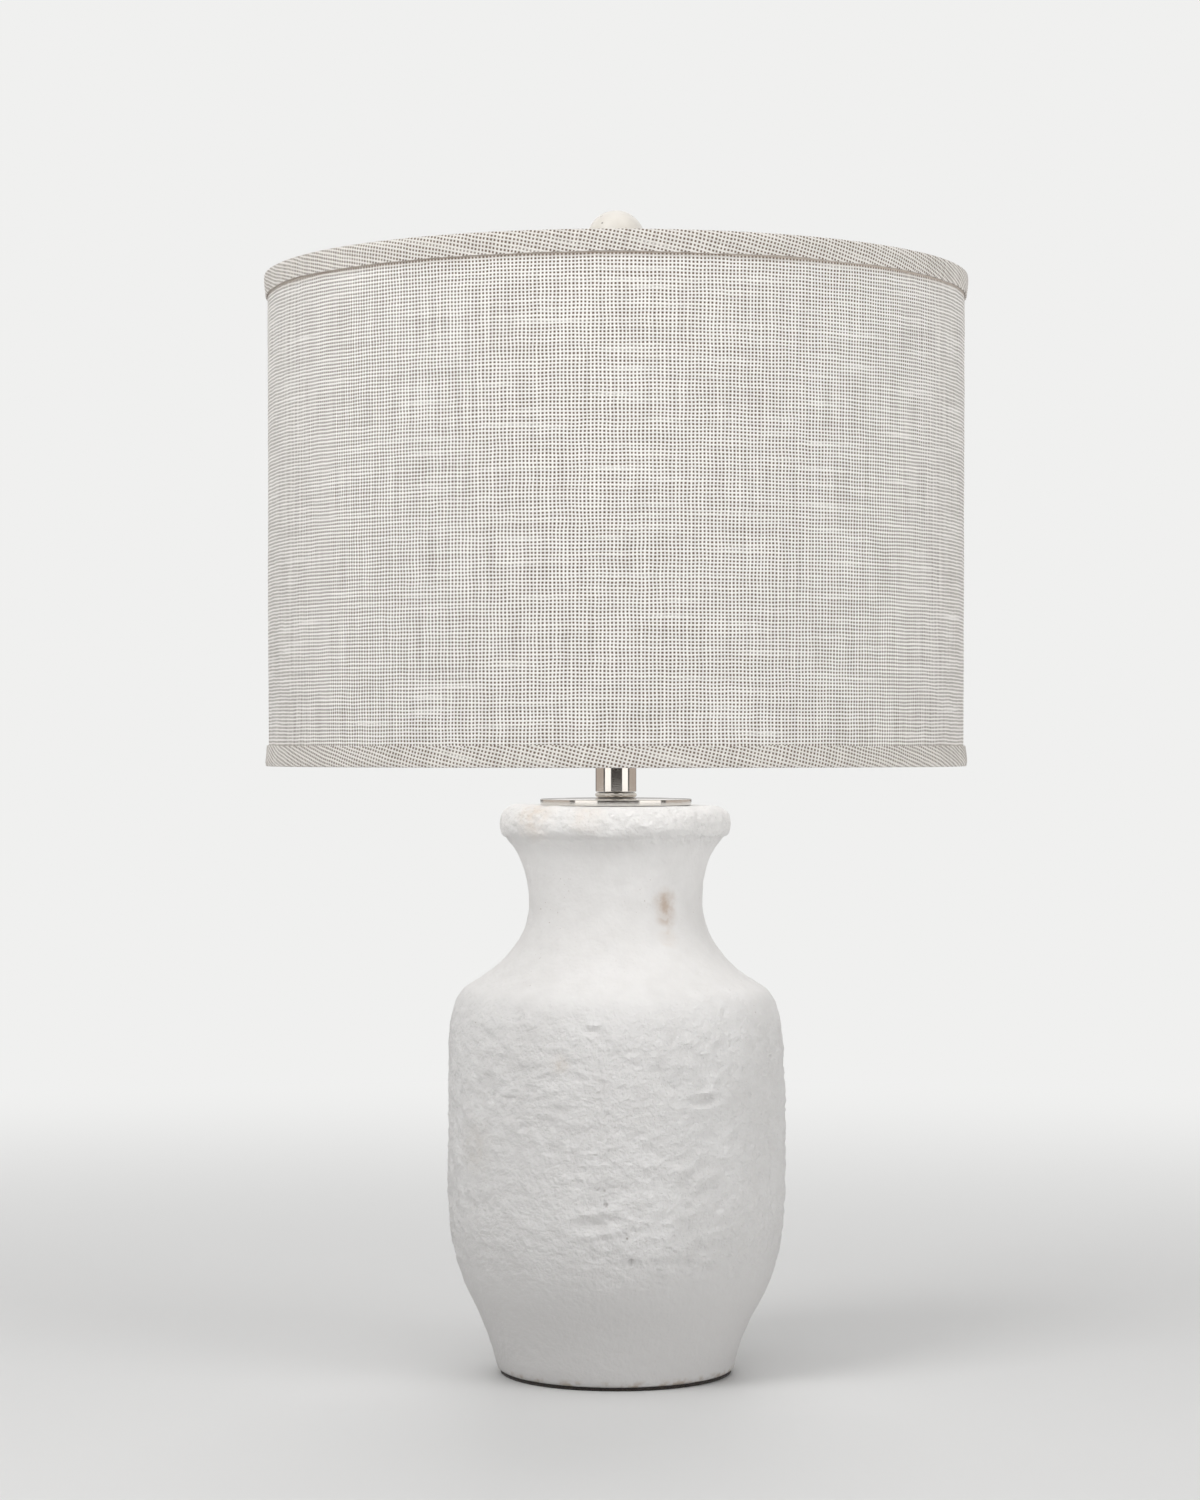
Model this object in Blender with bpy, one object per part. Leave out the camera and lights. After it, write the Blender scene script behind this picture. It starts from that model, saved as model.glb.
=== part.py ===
"""A table lamp: a ceramic jar on a felt pad, a threaded pipe that clamps the stack above it, a socket
and bulb, a lift-off harp, and a cloth drum shade held by a finial.

Metres, +Z up. The origin is the middle of the felt's underside, and the front is towards -Y.
"""

from math import asin, cos, degrees, pi, radians, sin, sqrt

import bmesh
import bpy
from mathutils import Matrix, Vector

for leftover in list(bpy.data.objects):
    bpy.data.objects.remove(leftover, do_unlink=True)

# Air kept between pieces that touch, and between pieces that move past each other.
GAP = 0.0003
RUN = 0.0005

# Felt and jar. The jar's outline climbs from its foot in spans, each as tall as its value says.
FELT_THICK = 0.0020
FELT_INSET = 0.0015
FOOT_RADIUS = 0.0726
HEEL_RADIUS = 0.0861
BELLY_RADIUS = 0.1036
SHOULDER_RADIUS = 0.0901
NECK_RADIUS = 0.0537
THROAT_RADIUS = 0.0676
LIP_RADIUS = 0.07075
HEEL_SPAN = 0.0384
FLANK_SPAN = 0.1009
BELLY_SPAN = 0.0237
SHOULDER_SPAN = 0.0721
NECK_SPAN = 0.0519
THROAT_SPAN = 0.0399
LIP_SPAN = 0.0077
LIP_RISE = 0.0109
LIP_ROLL = 0.0065
JAR_WALL = 0.0070
DECK_THICK = 0.0110
MOUTH_RADIUS = 0.0360
FOOT_WALL = 0.0110
FOOT_RECESS = 0.0200
FLOOR_THICK = 0.0080
CORD_HEIGHT = 0.0100
CORD_HOLE = 0.0048
CORD_BORE = 0.0032
CORD_FLANGE = 0.0015

# Threaded pipe and what it clamps.
PIPE_RADIUS = 0.0050
PIPE_BORE = 0.0032
PIPE_BELOW_NUT = 0.0030
NUT_WALL = 0.00165
NUT_THICK = 0.0050
LOCK_WASHER_WIDTH = 0.0030
LOCK_WASHER_THICK = 0.0012
FLOOR_WASHER_RADIUS = 0.0250
FLOOR_WASHER_THICK = 0.0016
CAP_RADIUS = 0.0465
CAP_THICK = 0.0044
CAP_SHEET = 0.0018
CAP_EDGE = 0.0016
COLLAR_LEDGE = 0.0003
COLLAR_THICK = 0.0032
NECK_TUBE_RADIUS = 0.0125
NECK_TUBE_WALL = 0.0015
NECK_TUBE_LENGTH = 0.0680
CHECK_RING_THICK = 0.0015
SADDLE_NUT_THICK = 0.0030

# Harp and the saddle that it stands on.
HARP_WIRE = 0.0020
HARP_HEIGHT = 0.2217
HARP_BULGE = 0.0570
HARP_BULB_AIR = 0.0011
HARP_STRAIGHT = 0.0300
HARP_PAD_LENGTH = 0.0160
HARP_PAD_WIDTH = 0.0110
HARP_PAD_THICK = 0.0020
SADDLE_THICK = 0.0016
SADDLE_CHEEK = 0.0010
SADDLE_TAB_WIDTH = 0.0080
SADDLE_TAB_HEIGHT = 0.0130
SADDLE_BEND = 0.0008
FERRULE_WALL = 0.0009
FERRULE_LENGTH = 0.0115
STUD_RADIUS = 0.00305
STUD_LENGTH = 0.0112
STUD_PLATFORM_RADIUS = 0.0095
STUD_PLATFORM_THICK = 0.0016
RIVET_RADIUS = 0.0022
RIVET_HEAD_RADIUS = 0.0040
RIVET_HEAD_THICK = 0.0016

# Socket, switch and bulb.
SOCKET_SHEET = 0.0006
SOCKET_HUB_WALL = 0.0030
SOCKET_HUB_HEIGHT = 0.0058
SOCKET_CAP_HEIGHT = 0.0230
SOCKET_SHELL_HEIGHT = 0.0475
SHELL_LIP = 0.0020
SOCKET_OVERLAP = 0.0065
LINER_THICK = 0.0006
LINER_AIR = 0.0005
BLOCK_HEIGHT = 0.0160
SCREW_SHELL_SHEET = 0.0005
SCREW_SHELL_HEIGHT = 0.0265
CONTACT_RADIUS = 0.0042
CONTACT_THICK = 0.0024
CONTACT_FOOT_RADIUS = 0.0014
CONTACT_FOOT = 0.0030
CONTACT_AIR = 0.0020
TERMINAL_RADIUS = 0.0030
TERMINAL_AIR = 0.0008
TERMINAL_POCKET = 0.0040
TERMINAL_SHANK = 0.0030
TERMINAL_HEAD = 0.0018
SET_SCREW_RADIUS = 0.0016
SHAFT_RADIUS = 0.0020
SHAFT_DEPTH = 0.0055
SHELL_SLOT_AIR = 0.0018
KNOB_RADIUS = 0.0078
KNOB_LENGTH = 0.0175
KNOB_STANDOFF = 0.0095
KNOB_TAIL_RADIUS = 0.0048
KNOB_TAIL = 0.0040
KNOB_EDGE = 0.0012
KNOB_BORE_DEPTH = 0.0088
BULB_CAP_RADIUS = 0.0131
BULB_CAP_SHEET = 0.0006
BULB_CAP_HEIGHT = 0.0205
BULB_CAP_BEVEL = 0.0020
BULB_TIP_HEIGHT = 0.0070
BULB_TIP_RADIUS = 0.0050
BULB_TIP_THICK = 0.0016
BULB_RADIUS = 0.0300
BULB_LENGTH = 0.1080
GLASS_WALL = 0.0012
GLASS_IN_CAP = 0.0080
GLOBE_START = -20

# Shade, its wire frame and its finial.
SHADE_RADIUS = 0.2135
SHADE_TAPER = 0.0008
SHADE_HEIGHT = 0.2992
SHADE_RECESS = 0.0152
CLOTH_THICK = 0.0008
STYRENE_THICK = 0.0005
RING_WIRE = 0.0016
TRIM_THICK = 0.0010
TRIM_PUFF = 0.0010
TOP_TRIM_DEPTH = 0.0125
BOTTOM_TRIM_DEPTH = 0.0125
TRIM_INSIDE_DEPTH = 0.0100
HUB_RADIUS = 0.0125
HUB_THICK = 0.0016
ARM_COUNT = 3
FINIAL_RADIUS = 0.0180
FINIAL_FLAT = 0.0170
FINIAL_NECK_HEIGHT = 0.0224
FINIAL_FLANGE_RADIUS = 0.0080
FINIAL_FLANGE_THICK = 0.0020
FINIAL_CUP_RADIUS = 0.0068
FINIAL_CUP_THICK = 0.0015
FINIAL_WALL = 0.00125
FINIAL_SPIGOT_RADIUS = 0.0040
FINIAL_SPIGOT_HEIGHT = 0.0070
INSERT_WALL = 0.0011
INSERT_LENGTH = 0.0148

# Sides of the many-sided solids that stand in for round ones.
JAR_SIDES = 36
SHADE_SIDES = 48
DISC_SIDES = 24
SMALL_SIDES = 12
WIRE_SIDES = 8

# Levels of the stack, from the table up.
HEEL_HEIGHT = HEEL_SPAN
BELLY_LOW = HEEL_HEIGHT + FLANK_SPAN
BELLY_HIGH = BELLY_LOW + BELLY_SPAN
SHOULDER_HEIGHT = BELLY_HIGH + SHOULDER_SPAN
NECK_HEIGHT = SHOULDER_HEIGHT + NECK_SPAN
THROAT_HEIGHT = NECK_HEIGHT + THROAT_SPAN
LIP_HEIGHT = THROAT_HEIGHT + LIP_SPAN
JAR_HEIGHT = LIP_HEIGHT + LIP_RISE
JAR_BASE = FELT_THICK + GAP
JAR_TOP = JAR_BASE + JAR_HEIGHT
FLOOR_UNDER = JAR_BASE + FOOT_RECESS
FLOOR_TOP = FLOOR_UNDER + FLOOR_THICK
FLOOR_WASHER_BASE = FLOOR_UNDER - GAP - FLOOR_WASHER_THICK
LOCK_WASHER_BASE = FLOOR_WASHER_BASE - GAP - LOCK_WASHER_THICK
NUT_BASE = LOCK_WASHER_BASE - GAP - NUT_THICK
PIPE_BASE = NUT_BASE - PIPE_BELOW_NUT
CAP_BASE = JAR_TOP + GAP
CAP_TOP = CAP_BASE + CAP_THICK
COLLAR_BASE = CAP_TOP + GAP
COLLAR_TOP = COLLAR_BASE + COLLAR_THICK
TUBE_BASE = COLLAR_TOP + GAP
TUBE_TOP = TUBE_BASE + NECK_TUBE_LENGTH
CHECK_BASE = TUBE_TOP + GAP
SADDLE_BASE = CHECK_BASE + CHECK_RING_THICK + GAP
SADDLE_TOP = SADDLE_BASE + SADDLE_THICK
SADDLE_NUT_BASE = SADDLE_TOP + GAP
SOCKET_BASE = SADDLE_NUT_BASE + SADDLE_NUT_THICK + GAP
PIPE_TOP = SOCKET_BASE + SOCKET_HUB_HEIGHT - GAP
SOCKET_CAP_TOP = SOCKET_BASE + SOCKET_CAP_HEIGHT
SHELL_BASE = SOCKET_CAP_TOP - SOCKET_OVERLAP
SHELL_TOP = SHELL_BASE + SOCKET_SHELL_HEIGHT
BLOCK_BASE = SHELL_BASE + SOCKET_SHEET + GAP
BLOCK_TOP = BLOCK_BASE + BLOCK_HEIGHT
SCREW_SHELL_BASE = BLOCK_TOP + GAP
SCREW_SHELL_TOP = SCREW_SHELL_BASE + SCREW_SHELL_HEIGHT
CONTACT_TOP = BLOCK_TOP + GAP + CONTACT_THICK
BULB_BASE = CONTACT_TOP + GAP
BULB_CAP_BASE = BULB_BASE + BULB_TIP_HEIGHT
BULB_CAP_TOP = BULB_CAP_BASE + BULB_CAP_HEIGHT
BULB_TOP = BULB_BASE + BULB_LENGTH
HARP_BASE = SADDLE_TOP + RUN
PAD_BASE = HARP_BASE + HARP_HEIGHT
PAD_TOP = PAD_BASE + HARP_PAD_THICK
PLATFORM_BASE = PAD_TOP + GAP
PLATFORM_TOP = PLATFORM_BASE + STUD_PLATFORM_THICK
STUD_TOP = PLATFORM_TOP + STUD_LENGTH
HUB_BASE = PLATFORM_TOP + GAP
HUB_TOP = HUB_BASE + HUB_THICK
SHADE_TOP = HUB_TOP + SHADE_RECESS
SHADE_BOTTOM = SHADE_TOP - SHADE_HEIGHT
FINIAL_BASE = HUB_TOP + GAP
FINIAL_NECK_TOP = FINIAL_BASE + FINIAL_NECK_HEIGHT
BALL_BASE = FINIAL_NECK_TOP + GAP
BALL_CENTRE = BALL_BASE + FINIAL_FLAT

# Radii that follow from the ones above.
PIPE_HOLE = PIPE_RADIUS + RUN
NUT_FLATS = 2 * (PIPE_HOLE + NUT_WALL)
LOCK_WASHER_RADIUS = PIPE_HOLE + LOCK_WASHER_WIDTH
SADDLE_WIDTH = 2 * (PIPE_HOLE + SADDLE_CHEEK)
SOCKET_HUB_RADIUS = PIPE_HOLE + SOCKET_HUB_WALL
FOOT_BORE = FOOT_RADIUS - FOOT_WALL
COLLAR_RADIUS = NECK_TUBE_RADIUS + COLLAR_LEDGE
SCREW_SHELL_RADIUS = BULB_CAP_RADIUS + RUN + SCREW_SHELL_SHEET
LINER_BORE = SCREW_SHELL_RADIUS + LINER_AIR
LINER_RADIUS = LINER_BORE + LINER_THICK
SHELL_BORE = LINER_RADIUS + GAP
SOCKET_RADIUS = SHELL_BORE + SOCKET_SHEET
BLOCK_RADIUS = LINER_BORE - GAP
HARP_FOOT = BULB_RADIUS + HARP_BULB_AIR + FERRULE_WALL + RUN + HARP_WIRE
STUD_HOLE = STUD_RADIUS + RUN
KNOB_MIDDLE = BLOCK_BASE + BLOCK_HEIGHT * 0.56


def surface(name, colour, roughness, metallic=0.0):
    """A plain material of one colour."""
    material = bpy.data.materials.new(name)
    material.use_nodes = True
    shader = material.node_tree.nodes["Principled BSDF"]
    shader.inputs["Base Color"].default_value = (*colour, 1.0)
    shader.inputs["Roughness"].default_value = roughness
    shader.inputs["Metallic"].default_value = metallic
    material.diffuse_color = (*colour, 1.0)
    return material


PLASTER = surface("chalky_ceramic", (0.84, 0.82, 0.80), 0.85)
FELT = surface("felt", (0.10, 0.09, 0.08), 0.95)
RUBBER = surface("black_rubber", (0.04, 0.04, 0.04), 0.70)
NICKEL = surface("polished_nickel", (0.70, 0.66, 0.61), 0.12, 1.0)
ZINC = surface("zinc_plate", (0.62, 0.62, 0.60), 0.35, 1.0)
BRASS = surface("brass", (0.72, 0.56, 0.30), 0.30, 1.0)
CARD = surface("insulating_card", (0.22, 0.16, 0.11), 0.90)
PHENOLIC = surface("moulded_phenolic", (0.05, 0.04, 0.04), 0.45)
MILK_GLASS = surface("frosted_glass", (0.93, 0.92, 0.90), 0.30)
CLOTH = surface("woven_cloth", (0.80, 0.77, 0.73), 0.90)
BINDING = surface("bias_binding", (0.78, 0.75, 0.71), 0.90)
STYRENE = surface("white_styrene", (0.88, 0.87, 0.85), 0.50)
GLAZE = surface("white_glaze", (0.90, 0.87, 0.82), 0.20)


def put(name, shape, material, axis=(0.0, 0.0, 0.0)):
    """Turns a bmesh into a named object whose origin is at axis, with its sharp edges kept."""
    bmesh.ops.remove_doubles(shape, verts=shape.verts, dist=1e-6)
    bmesh.ops.recalc_face_normals(shape, faces=shape.faces)
    bmesh.ops.translate(shape, verts=shape.verts, vec=-Vector(axis))
    mesh = bpy.data.meshes.new(name)
    shape.to_mesh(mesh)
    shape.free()
    mesh.shade_smooth()
    mesh.set_sharp_from_angle(angle=radians(35))
    mesh.materials.append(material)
    piece = bpy.data.objects.new(name, mesh)
    piece.location = axis
    bpy.context.scene.collection.objects.link(piece)
    return piece


def turn(outline, sides):
    """Spins a closed outline of (radius, height) points round +Z."""
    shape = bmesh.new()
    points = [shape.verts.new((radius, 0.0, height)) for radius, height in outline]
    edges = [shape.edges.new(pair) for pair in zip(points, points[1:] + points[:1]) if pair[0] != pair[1]]
    bmesh.ops.spin(
        shape, geom=points + edges, axis=(0, 0, 1), cent=(0, 0, 0), angle=2 * pi, steps=sides, use_merge=True
    )
    bmesh.ops.remove_doubles(shape, verts=shape.verts, dist=1e-6)
    bmesh.ops.dissolve_degenerate(shape, edges=shape.edges, dist=1e-7)
    return shape


def ring(inner, outer, base, top, sides):
    """A plain washer or tube."""
    return turn([(outer, base), (outer, top), (inner, top), (inner, base)], sides)


def rod(radius, base, top, sides):
    """A plain cylinder on the Z axis."""
    return turn([(0.0, base), (radius, base), (radius, top), (0.0, top)], sides)


def arc(centre, radius, start, end, steps):
    """Points of a circle's arc, in degrees, as (x, z) pairs."""
    angles = [radians(start + (end - start) * step / steps) for step in range(steps + 1)]
    return [(centre[0] + radius * cos(angle), centre[1] + radius * sin(angle)) for angle in angles]


def curve(start, leave, arrive, end, steps):
    """A cubic curve from start to end; leave and arrive are its handles. The start point is left out."""
    first = Vector(start)
    last = Vector(end)
    near = first + Vector(leave)
    far = last - Vector(arrive)
    points = []
    for step in range(1, steps + 1):
        t = step / steps
        s = 1.0 - t
        points.append(tuple(s**3 * first + 3 * s * s * t * near + 3 * s * t * t * far + t**3 * last))
    return points


def loft(sections):
    """Joins sections of equally many points one after another and closes both ends."""
    shape = bmesh.new()
    loops = [[shape.verts.new(point) for point in section] for section in sections]
    count = len(loops[0])
    for lower, upper in zip(loops, loops[1:]):
        for i in range(count):
            j = (i + 1) % count
            shape.faces.new((lower[i], lower[j], upper[j], upper[i]))
    shape.faces.new(loops[0])
    shape.faces.new(loops[-1])
    return shape


def wire(path, radius, flatten=None):
    """A round wire along a path in the XZ plane, flattened at the steps that flatten names.

    flatten maps a step to its half width in Y and its half thickness.
    """
    sections = []
    for step, point in enumerate(path):
        before = Vector(path[max(step - 1, 0)])
        after = Vector(path[min(step + 1, len(path) - 1)])
        way = (after - before).normalized()
        side = Vector((-way[1], way[0]))
        wide, thick = (flatten or {}).get(step, (radius, radius))
        section = []
        for corner in range(WIRE_SIDES):
            angle = 2 * pi * (corner + 0.5) / WIRE_SIDES
            along = side * thick * sin(angle)
            section.append((point[0] + along[0], wide * cos(angle), point[1] + along[1]))
        sections.append(section)
    return loft(sections)


def block(low, high):
    """A box between two corners."""
    shape = bmesh.new()
    bmesh.ops.create_cube(shape, size=1.0)
    size = Vector(high) - Vector(low)
    bmesh.ops.scale(shape, verts=shape.verts, vec=size)
    bmesh.ops.translate(shape, verts=shape.verts, vec=(Vector(high) + Vector(low)) / 2)
    return shape


def lay(shape, place, turned):
    """Moves a shape made on the Z axis to place, turned by a rotation matrix."""
    bmesh.ops.transform(shape, matrix=Matrix.Translation(place) @ turned.to_4x4(), verts=shape.verts)
    return shape


TO_FRONT = Matrix.Rotation(radians(90), 3, "X")
TO_RIGHT = Matrix.Rotation(radians(90), 3, "Y")


def cut(piece, name, shape):
    """Cuts a shape out of a piece."""
    boolean(piece, name, shape, "DIFFERENCE")


def weld(piece, name, shape):
    """Joins a shape to a piece."""
    boolean(piece, name, shape, "UNION")


def boolean(piece, name, shape, operation):
    tool = put(name, shape, PLASTER)
    tool.hide_render = True
    tool.display_type = "WIRE"
    modifier = piece.modifiers.new(name, "BOOLEAN")
    modifier.operation = operation
    modifier.solver = "EXACT"
    modifier.object = tool


def hex_nut(name, flats, base, thick):
    """A hexagon nut round the pipe."""
    corner = flats / sqrt(3)
    outside = [(corner * cos(pi * k / 3), corner * sin(pi * k / 3)) for k in range(6)]
    shape = loft([[(x, y, base) for x, y in outside], [(x, y, base + thick) for x, y in outside]])
    nut = put(name, shape, ZINC)
    cut(nut, name + "_hole", rod(PIPE_HOLE, base - GAP, base + thick + GAP, SMALL_SIDES))


def jar_outside():
    """The jar's outer outline, from the edge of its foot up to the top of its lip."""
    heel_way = Vector((0.507, 1.0)).normalized()
    shoulder_way = Vector((-0.862, 0.506)).normalized()
    heel = (HEEL_RADIUS, HEEL_HEIGHT)
    shoulder = (SHOULDER_RADIUS, SHOULDER_HEIGHT)
    throat = (THROAT_RADIUS, THROAT_HEIGHT)
    points = [(FOOT_RADIUS, 0.0)]
    points += curve(points[-1], (0.0030, 0.0098), heel_way * 0.0200, heel, 3)
    points += curve(heel, heel_way * 0.0257, (0.0, 0.0693), (BELLY_RADIUS, BELLY_LOW), 6)
    points.append((BELLY_RADIUS, BELLY_HIGH))
    points += curve(points[-1], (0.0, 0.0520), shoulder_way * 0.0107, shoulder, 7)
    points += curve(shoulder, shoulder_way * 0.0321, (0.0, 0.0165), (NECK_RADIUS, NECK_HEIGHT), 5)
    points += curve(points[-1], (0.0, 0.0220), (0.0069, 0.0070), throat, 4)
    roll = LIP_RADIUS - LIP_ROLL
    rise = JAR_HEIGHT - LIP_HEIGHT
    points += [(roll + LIP_ROLL * cos(a), LIP_HEIGHT + rise * sin(a)) for a in (-0.4, 0.0, 0.5, 1.0)]
    points.append((roll, JAR_HEIGHT))
    return points


def radius_at(outline, height):
    """The outline's radius at a height, on the first stretch that rises past it."""
    for low, high in zip(outline, outline[1:]):
        if low[1] <= height <= high[1]:
            return low[0] + (high[0] - low[0]) * (height - low[1]) / (high[1] - low[1])
    return outline[-1][0]


def jar_inside(outside):
    """The cavity, one wall inside the outer outline, from the deck down to the floor."""
    deck = JAR_HEIGHT - DECK_THICK
    floor = FOOT_RECESS + FLOOR_THICK
    middle = [(r - JAR_WALL, height) for r, height in outside[1::3] if floor < height < NECK_HEIGHT]
    lowest = min(middle, key=lambda point: point[1])
    neck = NECK_RADIUS - JAR_WALL
    return [(neck, deck), (neck, NECK_HEIGHT)] + middle[::-1] + [(lowest[0] - JAR_WALL, floor)]


def make_base():
    outside = jar_outside()
    outline = outside + [(MOUTH_RADIUS, JAR_HEIGHT), (MOUTH_RADIUS, JAR_HEIGHT - DECK_THICK)]
    outline += jar_inside(outside)
    outline += [(PIPE_HOLE, FOOT_RECESS + FLOOR_THICK), (PIPE_HOLE, FOOT_RECESS)]
    outline += [(FOOT_BORE, FOOT_RECESS), (FOOT_BORE, 0.0)]
    jar = put("jar_body", turn([(r, z + JAR_BASE) for r, z in outline], JAR_SIDES), PLASTER)
    cord_level = JAR_BASE + CORD_HEIGHT
    drill = rod(CORD_HOLE, 0.0, HEEL_RADIUS - FOOT_BORE + RUN, SMALL_SIDES)
    cut(jar, "cord_hole", lay(drill, (0.0, HEEL_RADIUS, cord_level), TO_FRONT))
    put("felt_pad", rod(FOOT_RADIUS - FELT_INSET, 0.0, FELT_THICK, JAR_SIDES), FELT)
    flange = CORD_HOLE + CORD_FLANGE
    seat = sqrt(FOOT_BORE**2 - flange**2) * cos(pi / JAR_SIDES) - GAP
    mouth = radius_at(outside, CORD_HEIGHT)
    body = CORD_HOLE - GAP
    sleeve = mouth - seat
    bushing = [(CORD_BORE, 0.0), (body, 0.0), (body, sleeve), (flange, sleeve)]
    bushing += [(flange, sleeve + CORD_FLANGE), (CORD_BORE, sleeve + CORD_FLANGE)]
    put("cord_bushing", lay(turn(bushing, SMALL_SIDES), (0.0, mouth, cord_level), TO_FRONT), RUBBER)


def make_pipe_stack():
    put("threaded_pipe", ring(PIPE_BORE, PIPE_RADIUS, PIPE_BASE, PIPE_TOP, SMALL_SIDES), ZINC)
    washer_top = FLOOR_WASHER_BASE + FLOOR_WASHER_THICK
    washer = ring(PIPE_HOLE, FLOOR_WASHER_RADIUS, FLOOR_WASHER_BASE, washer_top, DISC_SIDES)
    put("floor_washer", washer, ZINC)
    lock_top = LOCK_WASHER_BASE + LOCK_WASHER_THICK
    put("lock_washer", ring(PIPE_HOLE, LOCK_WASHER_RADIUS, LOCK_WASHER_BASE, lock_top, SMALL_SIDES), ZINC)
    hex_nut("pipe_nut", NUT_FLATS, NUT_BASE, NUT_THICK)
    rim = CAP_RADIUS - CAP_EDGE
    under = CAP_TOP - CAP_SHEET
    spigot = MOUTH_RADIUS - RUN
    outline = [(PIPE_HOLE, CAP_TOP)] + arc((rim, CAP_TOP - CAP_EDGE), CAP_EDGE, 90, 0, 3)
    outline += [(CAP_RADIUS, CAP_BASE + CAP_EDGE / 2), (CAP_RADIUS - CAP_EDGE / 2, CAP_BASE)]
    outline += [(rim - CAP_SHEET, CAP_BASE), (rim - CAP_SHEET, under), (spigot, under)]
    outline += [(spigot, CAP_BASE - 0.0060), (spigot - CAP_SHEET, CAP_BASE - 0.0060)]
    outline += [(spigot - CAP_SHEET, under), (PIPE_HOLE, under)]
    put("cap_plate", turn(outline, JAR_SIDES), NICKEL)
    bead = COLLAR_THICK / 2
    outline = [(PIPE_HOLE, COLLAR_BASE)]
    outline += arc((COLLAR_RADIUS - bead, COLLAR_BASE + bead), bead, -90, 90, 4)
    outline += [(PIPE_HOLE, COLLAR_TOP)]
    put("neck_collar", turn(outline, DISC_SIDES), NICKEL)
    tube = ring(NECK_TUBE_RADIUS - NECK_TUBE_WALL, NECK_TUBE_RADIUS, TUBE_BASE, TUBE_TOP, DISC_SIDES)
    put("neck_tube", tube, NICKEL)
    check_top = CHECK_BASE + CHECK_RING_THICK
    put("check_ring", ring(PIPE_HOLE, COLLAR_RADIUS, CHECK_BASE, check_top, DISC_SIDES), NICKEL)
    hex_nut("saddle_nut", NUT_FLATS, SADDLE_NUT_BASE, SADDLE_NUT_THICK)


def make_saddle():
    """A strip bent up at both ends; the harp's feet stand just inside its tabs."""
    tab_face = HARP_FOOT + HARP_WIRE + RUN
    outer_bend = SADDLE_BEND + SADDLE_THICK
    centre = (tab_face - SADDLE_BEND, SADDLE_TOP + SADDLE_BEND)
    tab_top = SADDLE_TOP + SADDLE_TAB_HEIGHT
    inner = arc(centre, SADDLE_BEND, -90, 0, 3) + [(tab_face, tab_top)]
    outer = arc(centre, outer_bend, -90, 0, 3) + [(tab_face + SADDLE_THICK, tab_top)]
    narrow = tab_face - 2 * SADDLE_BEND - SADDLE_TAB_WIDTH
    stations = [((narrow, SADDLE_TOP), (narrow, SADDLE_BASE), SADDLE_WIDTH / 2)]
    stations += [(near, far, SADDLE_TAB_WIDTH / 2) for near, far in zip(inner, outer)]
    mirrored = [((-near[0], near[1]), (-far[0], far[1]), half) for near, far, half in stations[::-1]]
    sections = []
    for near, far, half in mirrored + stations:
        section = [(near[0], -half, near[1]), (near[0], half, near[1])]
        section += [(far[0], half, far[1]), (far[0], -half, far[1])]
        sections.append(section)
    saddle = put("harp_saddle", loft(sections), ZINC)
    cut(saddle, "saddle_hole", rod(PIPE_HOLE, SADDLE_BASE - GAP, SADDLE_TOP + GAP, SMALL_SIDES))


def harp_half():
    """The right half of the harp's centre line, from its foot to the edge of its flat top pad."""
    pad_level = PAD_BASE + HARP_PAD_THICK / 2
    height = pad_level - HARP_BASE
    widest = (HARP_BULGE, HARP_BASE + height * 0.58)
    pad_edge = (HARP_PAD_LENGTH / 2, pad_level)
    straight_top = (HARP_FOOT, HARP_BASE + HARP_STRAIGHT)
    points = [(HARP_FOOT, HARP_BASE), straight_top]
    points += curve(straight_top, (0.0, 0.0350), (0.0, 0.0450), widest, 7)
    points += curve(widest, (0.0, 0.0520), (-0.0250, 0.0), pad_edge, 10)
    return points


def make_harp():
    right = harp_half()
    left = [(-x, z) for x, z in right[::-1]]
    path = right + left
    flat = (HARP_PAD_WIDTH / 2 / cos(pi / WIRE_SIDES), HARP_PAD_THICK / 2 / sin(3 * pi / WIRE_SIDES))
    pad_steps = {len(right) - 1: flat, len(right): flat}
    harp = put("harp", wire(path, HARP_WIRE, pad_steps), ZINC)
    cut(harp, "rivet_hole", rod(RIVET_RADIUS + RUN, PAD_BASE - RUN, PAD_TOP + RUN, SMALL_SIDES))
    head_top = PAD_BASE - GAP
    head_base = head_top - RIVET_HEAD_THICK
    outline = [(0.0, head_base), (RIVET_HEAD_RADIUS * 0.7, head_base), (RIVET_HEAD_RADIUS, head_top)]
    outline += [(RIVET_RADIUS, head_top), (RIVET_RADIUS, PLATFORM_BASE)]
    outline += [(STUD_PLATFORM_RADIUS, PLATFORM_BASE), (STUD_PLATFORM_RADIUS, PLATFORM_TOP)]
    outline += [(STUD_RADIUS, PLATFORM_TOP)]
    outline += [(STUD_RADIUS, STUD_TOP - RUN), (STUD_RADIUS - RUN, STUD_TOP), (0.0, STUD_TOP)]
    put("harp_stud", turn(outline, SMALL_SIDES), BRASS)


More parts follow.
